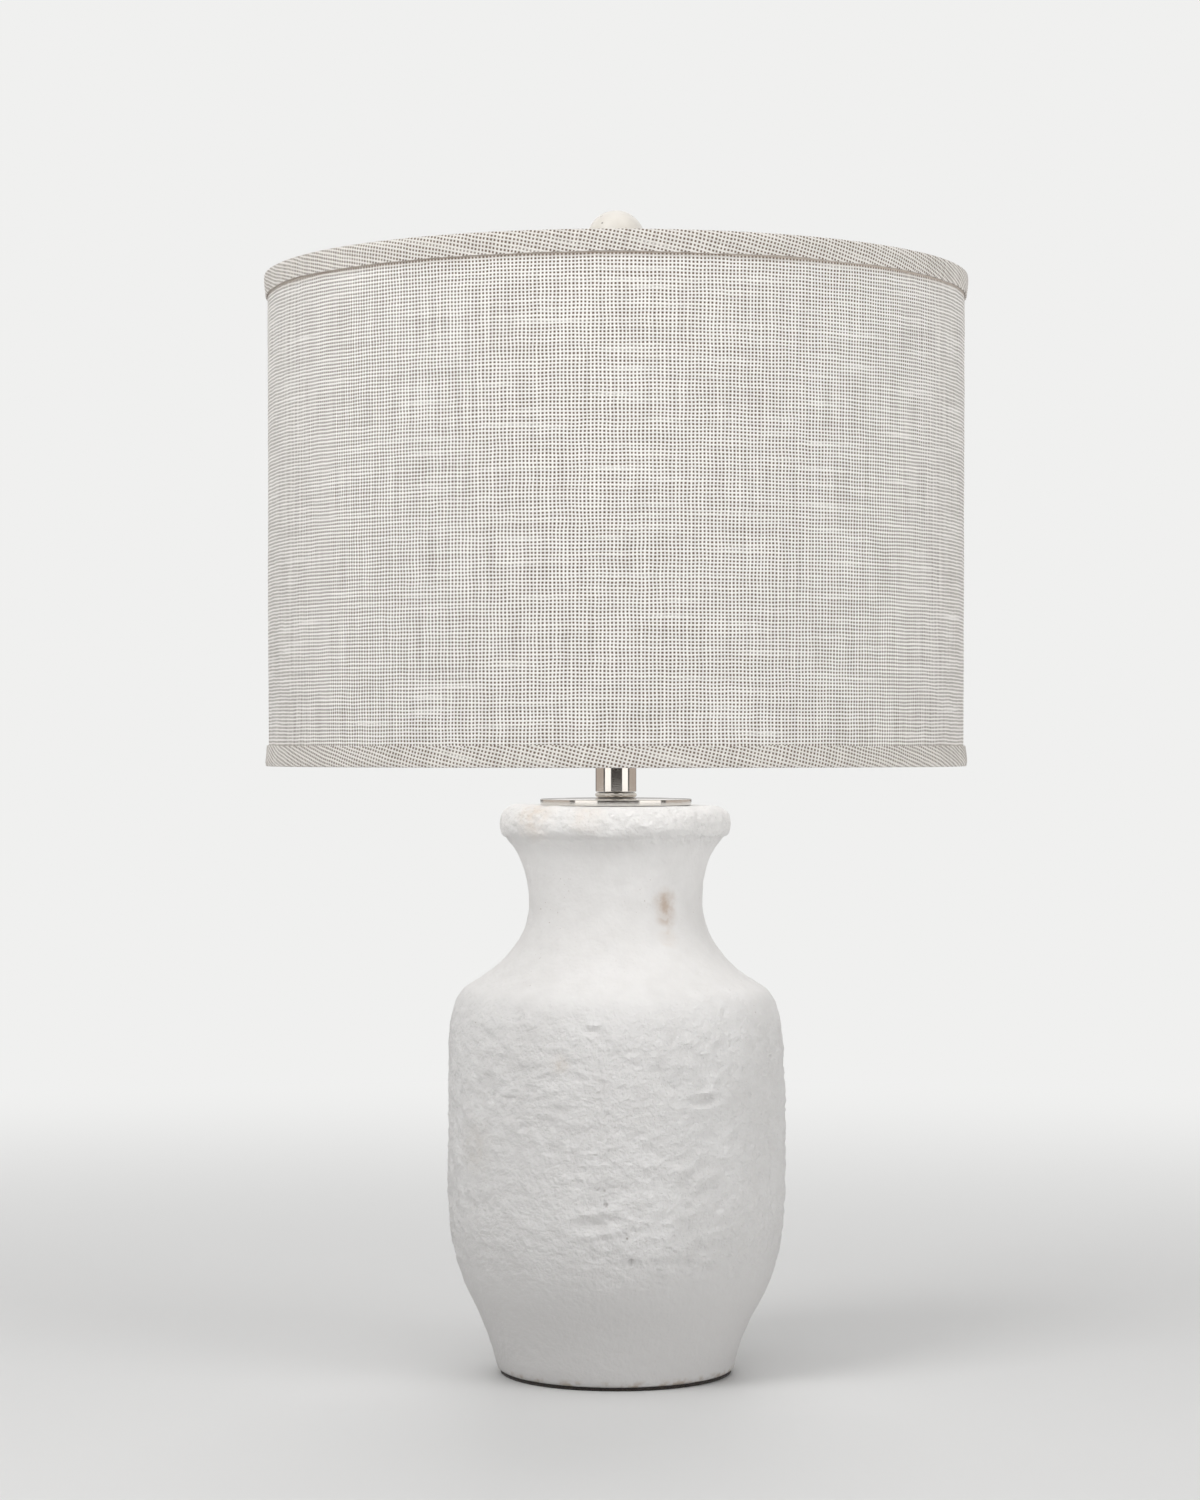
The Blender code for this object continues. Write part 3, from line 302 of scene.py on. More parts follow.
def step(value, low, high):
    """0 below low and 1 above high, with a smooth step between them."""
    part = np.clip((value - low) / (high - low), 0.0, 1.0)
    return part * part * (3 - 2 * part)


jar_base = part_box("jar_body")[0].z
foot_radius, belly_radius, neck_radius = 0.0726, 0.1036, 0.0537
heel, shoulder, throat = (0.0861, 0.0384), (0.0901, 0.2351), (0.0676, 0.3269)
heel_way = np.array((0.507, 1.0)) / hypot(0.507, 1.0)
shoulder_way = np.array((-0.862, 0.506)) / hypot(0.862, 0.506)
lip_roll, lip_rise, lip_level, lip_radius = 0.0105, 0.0113, 0.3346, 0.07075
mouth_radius, jar_height = 0.0360, 0.3455
outer = [np.array([(-0.0016, 0.0), (-0.0005, 0.0004), (0.0002, 0.0016)]) + (foot_radius, 0.0)]
for leave, arrive, end in (
    ((0.0027, 0.0088), heel_way * 0.0200, heel),
    (heel_way * 0.0257, (0.0, 0.0693), (belly_radius, 0.1393)),
    ((0.0, 0.0079), (0.0, 0.0079), (belly_radius, 0.1630)),
    ((0.0, 0.0520), shoulder_way * 0.0107, shoulder),
    (shoulder_way * 0.0321, (0.0, 0.0165), (neck_radius, 0.2870)),
    ((0.0, 0.0220), (0.0069, 0.0070), throat),
):
    outer.append(bezier(outer[-1][-1], leave, arrive, end, 48))
roll_turn = np.linspace(-0.78, 0.56 * pi, 28)[:, None]
roll_middle = np.array((lip_radius - lip_roll, lip_level))
roll = roll_middle + (lip_roll, lip_rise) * np.hstack([np.cos(roll_turn), np.sin(roll_turn)])
dip = bezier(roll[-1], (-0.0030, -0.0002), (-0.0030, 0.0), (0.0480, jar_height), 8)
outer = resample(np.vstack(outer + [roll, dip]), 0.00185)
rising_face = outer[:-12]
jar_wall, jar_floor, jar_floor_top = 0.0070, 0.0200, 0.0280
pipe_hole, recess_radius = 0.0055, 0.0616
hollow = outer[(outer[:, 1] > 0.030) & (outer[:, 1] < 0.331)][::-9] - (jar_wall, 0.0)
deck = jar_height - 0.0110
inner = [(mouth_radius, jar_height), (mouth_radius, deck), (0.0500, deck), *hollow]
inner += [(pipe_hole, jar_floor_top), (pipe_hole, jar_floor)]
inner += [(recess_radius, jar_floor), (recess_radius, 0.0)]
wall = np.vstack([outer, inner]) + (0.0, jar_base)
SIDES_OF_JAR = 380
jar_grid = spin(wall, SIDES_OF_JAR)
around = np.arctan2(jar_grid[..., 0], -jar_grid[..., 1])
level = jar_grid[..., 2] - jar_base
from_axis = np.hypot(jar_grid[..., 0], jar_grid[..., 1])
outside = np.arange(len(wall))[:, None] < len(outer)
rough_band = step(level, 0.050, 0.085) * (1 - step(level, 0.205, 0.236))
patchy = 0.55 + 0.45 * lumps(jar_grid, 0.034, 3)
lip_band = step(level, 0.318, 0.331) * (1 - step(level, 0.341, 0.3455))
neck_patch = np.exp(-(((around - 0.45) / 0.42) ** 2) - ((level - 0.302) / 0.012) ** 2)
coarse = np.clip(rough_band * patchy + 0.6 * lip_band + 0.6 * neck_patch + 0.12, 0.0, 1.0)
squat = jar_grid * (1.0, 1.0, 1.5)
relief = 0.00085 * lumps(squat, 0.0110, 11) + 0.00080 * lumps(squat, 0.0062, 12)
creases = 1 - 3 * np.abs(lumps(squat, 0.0085, 13))
relief += 0.00050 * creases + 0.00062 * lumps(jar_grid, 0.0038, 14)
relief = relief * coarse + 0.00090 * lumps(jar_grid, 0.055, 15)
relief += 0.00012 * lumps(jar_grid, 0.0050, 16)
under_lip = np.exp(-(((level - 0.3262) / 0.0013) ** 2))
relief -= 0.00065 * under_lip * (0.65 + 0.35 * lumps(jar_grid, 0.02, 17))
chance = np.random.default_rng(41)
PIT_GAIN = 1.6


def dent(turn, rise, wide, tall, depth, tilt=0.0, rim=0.30):
    """Height of one pit: a bell-shaped hollow with a low raised rim, wide along the jar and tall up
    it. A negative depth makes a blister."""
    along = np.angle(np.exp(1j * (around - turn))) * from_axis
    up = level - rise
    u = (along * cos(tilt) + up * sin(tilt)) / wide
    v = (up * cos(tilt) - along * sin(tilt)) / tall
    away = u * u + v * v
    raised = rim * np.exp(-(((np.sqrt(away) - 1.35) / 0.40) ** 2))
    return -PIT_GAIN * depth * (np.exp(-1.6 * away) - raised)


for _ in range(210):
    turn, rise = chance.uniform(-pi, pi), chance.triangular(0.055, 0.140, 0.232)
    size = chance.uniform(0.0012, 0.0030)
    wide = size * chance.uniform(1.0, 2.3)
    relief += dent(turn, rise, wide, size, size * 0.26, chance.normal(0.0, 0.5))
for _ in range(150):
    turn, rise = chance.uniform(-pi, pi), chance.triangular(0.050, 0.150, 0.235)
    size = chance.uniform(0.0011, 0.0023)
    relief += dent(turn, rise, size, size, -size * 0.20, rim=0.0)
for _ in range(60):
    turn = chance.uniform(-pi, pi)
    rise = chance.choice([chance.uniform(0.012, 0.06), chance.uniform(0.24, 0.335)])
    size = chance.uniform(0.0010, 0.0020)
    relief += dent(turn, rise, size * 1.4, size, size * 0.16, chance.normal(0.0, 0.5))
for marks in (
    (0.532, 0.1730, 0.0115, 0.0036, 0.00180, 0.10, 0.55),
    (-0.145, 0.1010, 0.0135, 0.0048, 0.00160, 0.06, 0.55),
    (-0.020, 0.1045, 0.0085, 0.0034, 0.00110, -0.25, 0.45),
    (-0.668, 0.1735, 0.0060, 0.0021, 0.00110, 0.00, 0.30),
    (-0.140, 0.2150, 0.0068, 0.0023, 0.00110, 0.05, 0.30),
    (0.084, 0.0790, 0.0020, 0.0022, 0.00200, 0.60, 0.15),
    (-0.063, 0.1130, 0.0016, 0.0018, 0.00140, 0.30, 0.15),
    (2.600, 0.1500, 0.0110, 0.0034, 0.00120, -0.15, 0.45),
    (-2.100, 0.1150, 0.0130, 0.0040, 0.00120, 0.12, 0.45),
):
    relief += dent(*marks)
slope = np.gradient(wall, axis=0)
normal = np.stack([slope[:, 1], -slope[:, 0]], -1) / np.maximum(np.hypot(*slope.T), 1e-9)[:, None]
relief *= outside * step(level, 0.0005, 0.010) * step(from_axis, 0.0485, 0.0530)
DEEPEST, HIGHEST = -0.0028, 0.0013
relief = np.clip(relief, DEEPEST, HIGHEST)
jar_grid[..., 0] += relief * normal[:, :1] * np.sin(around)
jar_grid[..., 1] -= relief * normal[:, :1] * np.cos(around)
jar_grid[..., 2] += relief * normal[:, 1:]

chalk = Finish("chalky_ceramic")
tone = chalk.noise(16.0, 6.0) * 0.6 + chalk.noise(75.0, 3.0) * 0.4
white = chalk.mix(chalk.ease(tone, 0.30, 0.70), (0.735, 0.722, 0.712), (0.800, 0.790, 0.782))
gritty_patch = chalk.ease(chalk.noise(34.0, 2.0), 0.44, 0.66)
grit = chalk.ease(chalk.noise(520.0, 2.0), 0.70, 0.76) * gritty_patch
white = chalk.mix(grit * 0.45, white, (0.36, 0.30, 0.25))
mottle = chalk.ease(chalk.noise(150.0, 4.0), 0.38, 0.62)
for turn, rise, reach, colour, strength in (
    (0.576, 0.2887, 0.0110, (0.46, 0.34, 0.25), 0.75),
    (0.583, 0.2797, 0.0100, (0.44, 0.31, 0.22), 0.75),
    (0.566, 0.2667, 0.0090, (0.60, 0.50, 0.41), 0.55),
    (-0.806, 0.3417, 0.0230, (0.66, 0.54, 0.43), 0.45),
    (-0.259, 0.3407, 0.0160, (0.68, 0.57, 0.47), 0.35),
    (-2.356, 0.3307, 0.0300, (0.64, 0.53, 0.43), 0.50),
    (2.401, 0.1177, 0.0400, (0.62, 0.56, 0.50), 0.35),
    (-0.968, 0.1427, 0.0260, (0.62, 0.57, 0.51), 0.30),
    (-0.330, 0.1950, 0.0090, (0.58, 0.51, 0.44), 0.45),
    # The last four are near-black dots at small pits: painted shade for their dark insides.
    (0.084, 0.0790, 0.0027, (0.06, 0.04, 0.03), 1.00),
    (-0.063, 0.1130, 0.0020, (0.10, 0.07, 0.05), 1.00),
    (-0.070, 0.1215, 0.0014, (0.16, 0.12, 0.09), 0.95),
    (0.060, 0.0930, 0.0013, (0.16, 0.12, 0.09), 0.90),
):
    out = np.interp(rise, rising_face[:, 1], rising_face[:, 0])
    place = (out * sin(turn), -out * cos(turn), rise + jar_base)
    white = chalk.mix(chalk.near(place, reach) * (0.35 + mottle * 0.65) * strength, white, colour)
height_up = chalk.axes(chalk.place())[2]
# Painted shade: the body darkens towards the foot, where its faces turn down from the light.
white = chalk.mix(chalk.ease(height_up, 0.115, 0.040) * 0.9, white, (0.66, 0.648, 0.64))
worn_foot = chalk.ease(height_up, 0.0075, 0.0030) * chalk.ease(chalk.noise(130.0, 4.0), 0.46, 0.64)
white = chalk.mix(worn_foot * 0.6, white, (0.38, 0.29, 0.21))
in_band = chalk.ease(height_up, 0.050, 0.090) * chalk.ease(height_up, 0.245, 0.205)
coarse_here = 0.30 + (in_band + chalk.ease(height_up, 0.318, 0.334)) * 0.70
grain = (chalk.noise(230.0, 5.0) + chalk.noise(480.0, 3.0) * 0.5) * coarse_here
roughness = 0.86 + tone * 0.12
surface = {"Base Color": white, "Roughness": roughness, "Normal": chalk.bump(grain, 0.0020)}
chalk.dress({**surface, "Specular IOR Level": 0.25})
jar = skin("jar", jar_grid, chalk.material, closed=(True, True))


def cut(piece, tool):
    """Cuts a tool's solid out of a piece for good, and throws the tool away."""
    change = piece.modifiers.new("cut", "BOOLEAN")
    change.operation = "DIFFERENCE"
    change.solver = "EXACT"
    change.object = tool
    seen_by = bpy.context.evaluated_depsgraph_get()
    mesh = bpy.data.meshes.new_from_object(piece.evaluated_get(seen_by))
    piece.modifiers.remove(change)
    piece.data = mesh
    bpy.data.objects.remove(tool)


def settle(piece, body, slot, *nodes):
    """Hands a piece to its body and hides the nodes it stands for; slot is not used."""
    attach(piece, body)
    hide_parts(*nodes)


def to_front(grid, level):
    """The grid with its +Z axis turned to -Y, lifted to a level."""
    return np.stack([grid[..., 0], -grid[..., 2], grid[..., 1] + level], axis=-1)


bushing_low, bushing_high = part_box("cord_bushing")
cord_level = (bushing_low.z + bushing_high.z) / 2
drill = np.array([(0.0, -0.085), (0.0048, -0.085), (0.0048, -0.056), (0.0, -0.056)])
drill_grid = to_front(spin(drill, 48), cord_level)
cut(jar, skin("drill", drill_grid, chalk.material, closed=(False, True)))
settle(jar, "base", "chalky_ceramic", "jar_body")


# Felt pad: a disc cut from dark wool felt and glued under the foot.
def soften(outline, radius, steps=4):
    """The outline with its corners rounded: each gives way to a quadratic curve that starts and
    ends radius from it, or not quite half-way to the next corner. Ends on the axis stay sharp."""
    corner = np.array(outline, dtype=float)
    before, after = (np.roll(corner, way, axis=0) - corner for way in (1, -1))
    reach = np.full(len(corner), float(radius))
    if corner[0, 0] == 0.0:
        reach[[0, -1]] = 0.0
    lengths = [np.maximum(np.hypot(*side.T), 1e-9) for side in (before, after)]
    reach = np.minimum(reach, 0.46 * np.minimum(*lengths))
    first = corner + before * (reach / lengths[0])[:, None]
    last = corner + after * (reach / lengths[1])[:, None]
    t = np.linspace(0.0, 1.0, steps)[None, :, None]
    curve = (1 - t) ** 2 * first[:, None] + 2 * t * (1 - t) * corner[:, None] + t**2 * last[:, None]
    return curve.reshape(-1, 2)


def turned(name, outline, sides, finish):
    """A piece turned round +Z from its outline; one that starts on the axis ends there too."""
    piece = skin(name, spin(np.array(outline), sides), finish.material, (outline[0][0] > 0, True))
    piece.modifiers.new("flat_between_edges", "WEIGHTED_NORMAL").keep_sharp = True
    return piece


felt = Finish("felt")
fibre = felt.noise(900.0, 4.0, felt.stretch(felt.place(), (1.0, 0.35, 2.0)))
wool = felt.mix(felt.ease(fibre, 0.35, 0.70), (0.018, 0.015, 0.013), (0.065, 0.055, 0.048))
nap = felt.bump(fibre, 0.0006)
felt.dress({"Base Color": wool, "Roughness": 0.97, "Normal": nap, "Sheen Weight": 0.2})
felt_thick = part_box("felt_pad")[1].z
felt_outline = [(0.0, 0.0), (0.0709, 0.0), (0.0709, felt_thick), (0.0, felt_thick)]
felt_grid = spin(soften(felt_outline, 0.0006), 480)
felt_grid[..., :2] *= 1 + 0.0022 * lumps(felt_grid, 0.0016, 21)[..., None]
settle(skin("foot_felt", felt_grid, felt.material, (False, True)), "base", "felt", "felt_pad")


# Cord grommet: a black rubber bushing pushed through the hole at the back of the foot, with a
# flange on the one side and a rounded mouth on the other.
rubber = Finish("black_rubber")
bloom = rubber.noise(260.0, 4.0)
soot = rubber.mix(bloom, (0.016, 0.016, 0.016), (0.040, 0.039, 0.038))
dusty = rubber.bump(bloom, 0.00008)
rubber.dress({"Base Color": soot, "Roughness": 0.55 + bloom * 0.2, "Normal": dusty})
flange = 0.0015
sleeve = bushing_high.y - bushing_low.y - flange
grommet = [(0.0032, 0.0), (0.0045, 0.0), (0.0045, sleeve), (0.0063, sleeve)]
grommet += [(0.0063, sleeve + flange), (0.0032, sleeve + flange)]
grommet_grid = to_front(spin(soften(grommet, 0.0006) - (0.0, bushing_high.y), 48), cord_level)
grommet = skin("cord_grommet", grommet_grid, rubber.material, (True, True))
settle(grommet, "base", "black_rubber", "cord_bushing")


# Cap plate, collar and neck tube: spun and drawn brass, polished and nickel plated, clamped on the
# jar's mouth by the pipe that runs through them. The check ring under the harp saddle matches them.
nickel = Finish("polished_nickel")
haze_patch = nickel.noise(38.0, 4.0)
brushed = nickel.noise(240.0, 3.0, nickel.stretch(nickel.place(), (1.0, 1.0, 6.0)))
plate = nickel.mix(haze_patch, (0.70, 0.665, 0.62), (0.80, 0.77, 0.73))
nickel.dress(
    {
        "Base Color": plate,
        "Metallic": 1.0,
        "Roughness": 0.02 + haze_patch * 0.045 + brushed * 0.015,
        "Normal": nickel.bump(brushed, 0.000002),
    }
)


def levels(node):
    """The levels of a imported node's underside and top."""
    return [corner.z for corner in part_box(node)]


def above(level, *points):
    """Points of an outline whose heights are given from a level."""
    return [(radius, level + height) for radius, height in points]


cap_base, cap_top = levels("cap_plate")
spigot_depth, spigot_outside, spigot_inside = 0.0060, 0.0355, 0.0337
cap_base += spigot_depth
under = cap_top - 0.0018
plate_outline = above(cap_top, (pipe_hole, 0.0), (0.0200, 0.0), (0.0340, -0.0002))
plate_outline += above(cap_top, (0.0463, -0.0006), (0.0465, -0.0009))
plate_outline += above(cap_base, (0.0465, 0.0002), (0.0463, 0.0), (0.0431, 0.0))
plate_outline += [(0.0431, under), (spigot_outside, under)]
plate_outline += above(cap_base, (spigot_outside, -spigot_depth), (spigot_inside, -spigot_depth))
plate_outline += [(spigot_inside, under), (pipe_hole, under)]
cap = turned("cap", soften(plate_outline, 0.0003), 256, nickel)
settle(cap, "base", "polished_nickel", "cap_plate")
collar_base, collar_top = levels("neck_collar")
bead = (collar_top - collar_base) / 2
bead_turn = np.linspace(-pi / 2, pi / 2, 13)
bead_round = [(0.0128 - bead + bead * cos(a), bead + bead * sin(a)) for a in bead_turn]
bead_outline = above(collar_base, (pipe_hole, 0.0), *bead_round) + [(pipe_hole, collar_top)]
settle(turned("collar", bead_outline, 128, nickel), "base", "polished_nickel", "neck_collar")
for name, node, bore, radius in (
    ("neck", "neck_tube", 0.0110, 0.0125),
    ("check_ring_turned", "check_ring", pipe_hole, 0.0128),
):
    base, top = levels(node)
    outline = soften([(bore, base), (radius, base), (radius, top), (bore, top)], 0.0003)
    settle(turned(name, outline, 128, nickel), "base", "polished_nickel", node)


# Harp: zinc-plated steel wire bent to a bow that carries the shade over the bulb, with a flattened
# pad at its top for the stud.
def wire(name, path, finish, radius, binormal=(0.0, 1.0, 0.0), sides=20, flat=None):
    """A round wire along a path in a plane, its ends rounded off. Each section is its centre plus
    thick times the sine of the turn along the side and wide times the cosine along the binormal;
    flat gives a (wide, thick) pair for each point."""
    path = np.asarray(path, dtype=float)
    way = np.gradient(path, axis=0)
    way /= np.linalg.norm(way, axis=1)[:, None]
    side = np.cross(binormal, way)
    wide, thick = np.full((2, len(path)), radius) if flat is None else np.asarray(flat).T
    lead, tail = path[:1] - way[:1] * 0.4 * radius, path[-1:] + way[-1:] * 0.4 * radius
    centre = np.concatenate([lead, lead, path, tail, tail])
    share = np.concatenate([(0.0, 0.72), np.ones(len(path)), (0.72, 0.0)])
    row = np.clip(np.arange(len(centre)) - 2, 0, len(path) - 1)
    wide, thick = ((share * size[row])[:, None, None] for size in (wide, thick))
    turn = np.arange(sides)[:, None] * 2 * pi / sides
    grid = centre[:, None] + thick * np.sin(turn) * side[row, None]
    grid = grid + wide * np.cos(turn) * np.array(binormal)
    return skin(name, grid, finish.material, closed=(False, True))


zinc = Finish("zinc_plate")
spangle = zinc.noise(130.0, 5.0)
dull = zinc.mix(spangle, (0.50, 0.50, 0.49), (0.66, 0.66, 0.64))
zinc_wear = zinc.bump(zinc.noise(600.0, 3.0), 0.00002)
zinc_sheen = 0.26 + spangle * 0.16
zinc.dress({"Base Color": dull, "Metallic": 1.0, "Roughness": zinc_sheen, "Normal": zinc_wear})
harp_low, harp_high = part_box("harp")
pad_level = harp_high.z - 0.0010
harp_rise = pad_level - harp_low.z
widest = (0.0570, harp_low.z + harp_rise * 0.58)
leg_out, harp_wire = 0.0345, 0.0020
harp_foot = np.array(above(harp_low.z, (leg_out, 0.0006), (leg_out, 0.0300)))
bow = bezier(harp_foot[1], (0.0, 0.0350), (0.0, 0.0450), widest, 36)
bow = np.vstack([harp_foot[:1], np.linspace(*harp_foot, 8)[1:], bow])
bow = np.vstack([bow, bezier(widest, (0.0, 0.0520), (-0.0250, 0.0), (0.0080, pad_level), 60)])
bow = np.vstack([bow, np.linspace((0.0080, pad_level), (0.0, pad_level), 12)[1:]])
bow = np.vstack([bow, (bow[::-1] * (-1, 1))[1:]])
flatness = 1 - step(np.abs(bow[:, 0]), 0.0070, 0.0135)
flatness *= bow[:, 1] > widest[1]
section = np.stack([harp_wire + 0.0035 * flatness, harp_wire - 0.0010 * flatness], axis=-1)
bow = np.stack([bow[:, 0], 0.0 * bow[:, 0], bow[:, 1]], axis=-1)
settle(wire("harp_bow", bow, zinc, harp_wire, flat=section), "harp", "zinc_plate", "harp")


# Stud: a turned brass swivel riveted through the harp's pad, threaded for the finial.
brass = Finish("brass")
patina = brass.noise(60.0, 4.0)
gold = brass.mix(patina, (0.60, 0.44, 0.20), (0.74, 0.58, 0.31))
brass.dress({"Base Color": gold, "Metallic": 1.0, "Roughness": 0.22 + patina * 0.14})


def threaded(outline, pitch, depth, low, high, sides):
    """A grid turned from an outline. Its radius swells with the cosine of height over pitch less
    the turn, so that the swelling climbs as one thread between the levels low and high."""
    grid = spin(np.array(outline), sides)
    turn = np.arange(sides) / sides
    height, run_out = grid[..., 2], pitch * 0.6
    wave = np.cos(2 * pi * (height / pitch - turn))
    fade = step(height, low, low + run_out) * (1 - step(height, high - run_out, high))
    radius = np.hypot(grid[..., 0], grid[..., 1])
    grid[..., :2] *= (1 + depth * wave * fade / np.maximum(radius, 1e-6))[..., None]
    return grid


def upright(radius, low, high, rows):
    """A straight run of an outline, in evenly spaced rows."""
    return [(radius, height) for height in np.linspace(low, high, rows)]


gap = 0.0003
stud_low, stud_high = levels("harp_stud")
platform = levels("spider")[0] - gap
stud = above(stud_low, (0.0, 0.0), (0.0026, 0.0), (0.0039, 0.0012), (0.0038, 0.0016))
stud += [(0.0022, stud_low + 0.0016)]
stud += above(platform, (0.0022, -0.0016), (0.0092, -0.0016), (0.0095, -0.0013))
stud += above(platform, (0.0095, -0.0003), (0.0092, 0.0))
stud += upright(0.00290, platform, stud_high - 0.0005, 70)
stud += above(stud_high, (0.0024, 0.0), (0.0, 0.0))
stud_pitch, stud_thread = 0.00094, 0.00015
stud_grid = threaded(stud, stud_pitch, stud_thread, platform, stud_high, 48)
stud = skin("swivel_stud", stud_grid, brass.material, (False, True))
settle(stud, "shade_swivel", "brass", "harp_stud")


# Socket: a domed cap and a drawn shell of plated brass, a fibre card liner in it, and the rolled
# screw shell that grips the bulb.
cap_low, cap_high = levels("socket_cap")
shell_low, shell_high = levels("socket_shell")
hub_top = cap_low + 0.0058
dome_foot = (0.0085, hub_top)
dome = [dome_foot, *bezier(dome_foot, (0.0085, 0.0), (0.0, 0.0050), (0.0170, shell_low), 16)]
inside = [(radius - 0.0006, height + 0.0004) for radius, height in dome[:-1]]
cup = above(cap_low, (pipe_hole, 0.0), (0.0082, 0.0), (0.0085, 0.0003)) + dome
cup += above(cap_high, (0.0172, -0.0009), (0.0171, -0.0003), (0.0168, 0.0), (0.0164, 0.0))
cup += [(0.0164, shell_low), *inside[::-1], (pipe_hole, hub_top + 0.0006)]
settle(turned("socket_dome", cup, 96, nickel), "base", "polished_nickel", "socket_cap")
shell = above(shell_low, (0.0161, 0.0), (0.0161, 0.0062), (0.0157, 0.0067), (0.0157, 0.0072))
shell += [(0.0161, shell_low + 0.0077)]
shell += above(shell_high, (0.0161, -0.0012), (0.0163, -0.0007), (0.0161, 0.0), (0.0155, 0.0))
shell += above(shell_low, (0.0155, 0.0006), (0.0148, 0.0006), (0.0148, 0.0))
shell = turned("socket_barrel", soften(shell, 0.0002, 3), 96, nickel)
switch_low, switch_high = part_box("switch_knob")
switch_level = (switch_low.z + switch_high.z) / 2
card = Finish("insulating_card")
fibres = card.noise(700.0, 4.0, card.stretch(card.place(), (1.0, 1.0, 0.3)))
brown = card.mix(fibres, (0.030, 0.020, 0.012), (0.085, 0.056, 0.034))
card.dress({"Base Color": brown, "Roughness": 0.85, "Normal": card.bump(fibres, 0.0001)})
liner_low, liner_high = levels("socket_liner")
liner = [(0.0146, liner_low), (0.0152, liner_low), (0.0152, liner_high), (0.0146, liner_high)]
liner = turned("card_liner", soften(liner, 0.0002, 3), 96, card)
punch = np.array([(0.0, 0.012), (0.0038, 0.012), (0.0038, 0.020), (0.0, 0.020)])
for piece, slot, node in (
    (shell, "polished_nickel", "socket_shell"),
    (liner, "insulating_card", "socket_liner"),
):
    punch_grid = to_front(spin(punch, 40), switch_level)
    cut(piece, skin("punch", punch_grid, card.material, (False, True)))
    settle(piece, "base", slot, node)
grip_low, grip_high = levels("screw_shell")
grip = above(grip_low, (0.0082, 0.0), (0.0136, 0.0))
grip += upright(0.01385, grip_low + 0.0006, grip_high - 0.0004, 48)
grip += above(grip_high, (0.0141, 0.0), (0.0137, 0.0))
grip += upright(0.01345, grip_high - 0.0006, grip_low + 0.0010, 48)
grip += [(0.0082, grip_low + 0.0005)]
screw_pitch, screw_thread = 0.0036, 0.00022
grip_grid = threaded(grip, screw_pitch, screw_thread, grip_low + 0.0010, grip_high - 0.0010, 96)
grip = skin("rolled_shell", grip_grid, brass.material, (True, True))
settle(grip, "base", "brass", "screw_shell")


# Switch knob: black moulded plastic, ribbed round its rim, pushed on to a brass shaft.
phenolic = Finish("moulded_phenolic")
flow = phenolic.noise(180.0, 3.0)
jet = phenolic.mix(flow, (0.010, 0.009, 0.008), (0.022, 0.019, 0.017))
moulded = phenolic.bump(flow, 0.00003)
phenolic.dress({"Base Color": jet, "Roughness": 0.26 + flow * 0.12, "Normal": moulded})
near_end, far_end = -switch_high.y, -switch_low.y
knob = above(near_end, (0.0023, 0.0), (0.0046, 0.0), (0.0048, 0.0003), (0.0048, 0.0036))
knob += above(near_end, (0.0054, 0.0041), (0.0072, 0.0050))
knob += upright(0.0076, near_end + 0.0056, far_end - 0.0016, 14)
knob += above(far_end, (0.0073, -0.0008), (0.0066, -0.0002), (0.0058, 0.0), (0.0030, -0.0003))
knob += [(0.0, far_end - 0.0004), *above(near_end, (0.0, 0.0070), (0.0023, 0.0070))]
KNOB_RIBS, KNOB_SIDES = 24, 144
knob_grid = spin(np.array(knob), KNOB_SIDES)
at_rim = step(np.hypot(knob_grid[..., 0], knob_grid[..., 1]), 0.0060, 0.0074)
rib = np.cos(KNOB_RIBS * np.arange(KNOB_SIDES) * 2 * pi / KNOB_SIDES) * at_rim
knob_grid[..., :2] *= (1 + 0.022 * rib)[..., None]
knob = skin("ribbed_knob", to_front(knob_grid, switch_level), phenolic.material, (True, True))
settle(knob, "switch", "moulded_phenolic", "switch_knob")


# Bulb: a round globe of white frosted glass cemented into a rolled screw cap, with a black glass
# insulator and a soldered tip under it.
glass = Finish("frosted_glass")
frost = glass.noise(900.0, 3.0)
milk = glass.mix(frost, (0.80, 0.79, 0.77), (0.86, 0.85, 0.83))
glass.dress(
    {
        "Base Color": milk,
        "Roughness": 0.30 + frost * 0.12,
        "Subsurface Weight": 0.25,
        "Subsurface Radius": (0.004, 0.004, 0.004),
        "Normal": glass.bump(frost, 0.00002),
    }
)
bulb_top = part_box("bulb_glass")[1].z
bulb_cap_low, bulb_cap_high = levels("bulb_cap")
globe_radius, glass_wall = 0.0300, 0.0012
globe = bulb_top - globe_radius
start_turn = radians(-20)


def globe_line(radius, neck):
    """One face of the glass, from its straight neck through the flare and round to its top."""
    start = np.array((neck, bulb_cap_high + 0.0010))
    end = np.array((radius * cos(start_turn), globe + radius * sin(start_turn)))
    length = end[1] - start[1]
    way = np.array((-sin(start_turn), cos(start_turn)))
    flare = bezier(start, (0.0, length / 2), way * length / 2, end, 20)
    turn = np.linspace(start_turn, pi / 2, 40)[1:, None]
    round_top = np.hstack([radius * np.cos(turn), globe + radius * np.sin(turn)])
    round_top[-1, 0] = 0.0
    return np.vstack([[(neck, bulb_cap_high - 0.0040), start], flare, round_top])


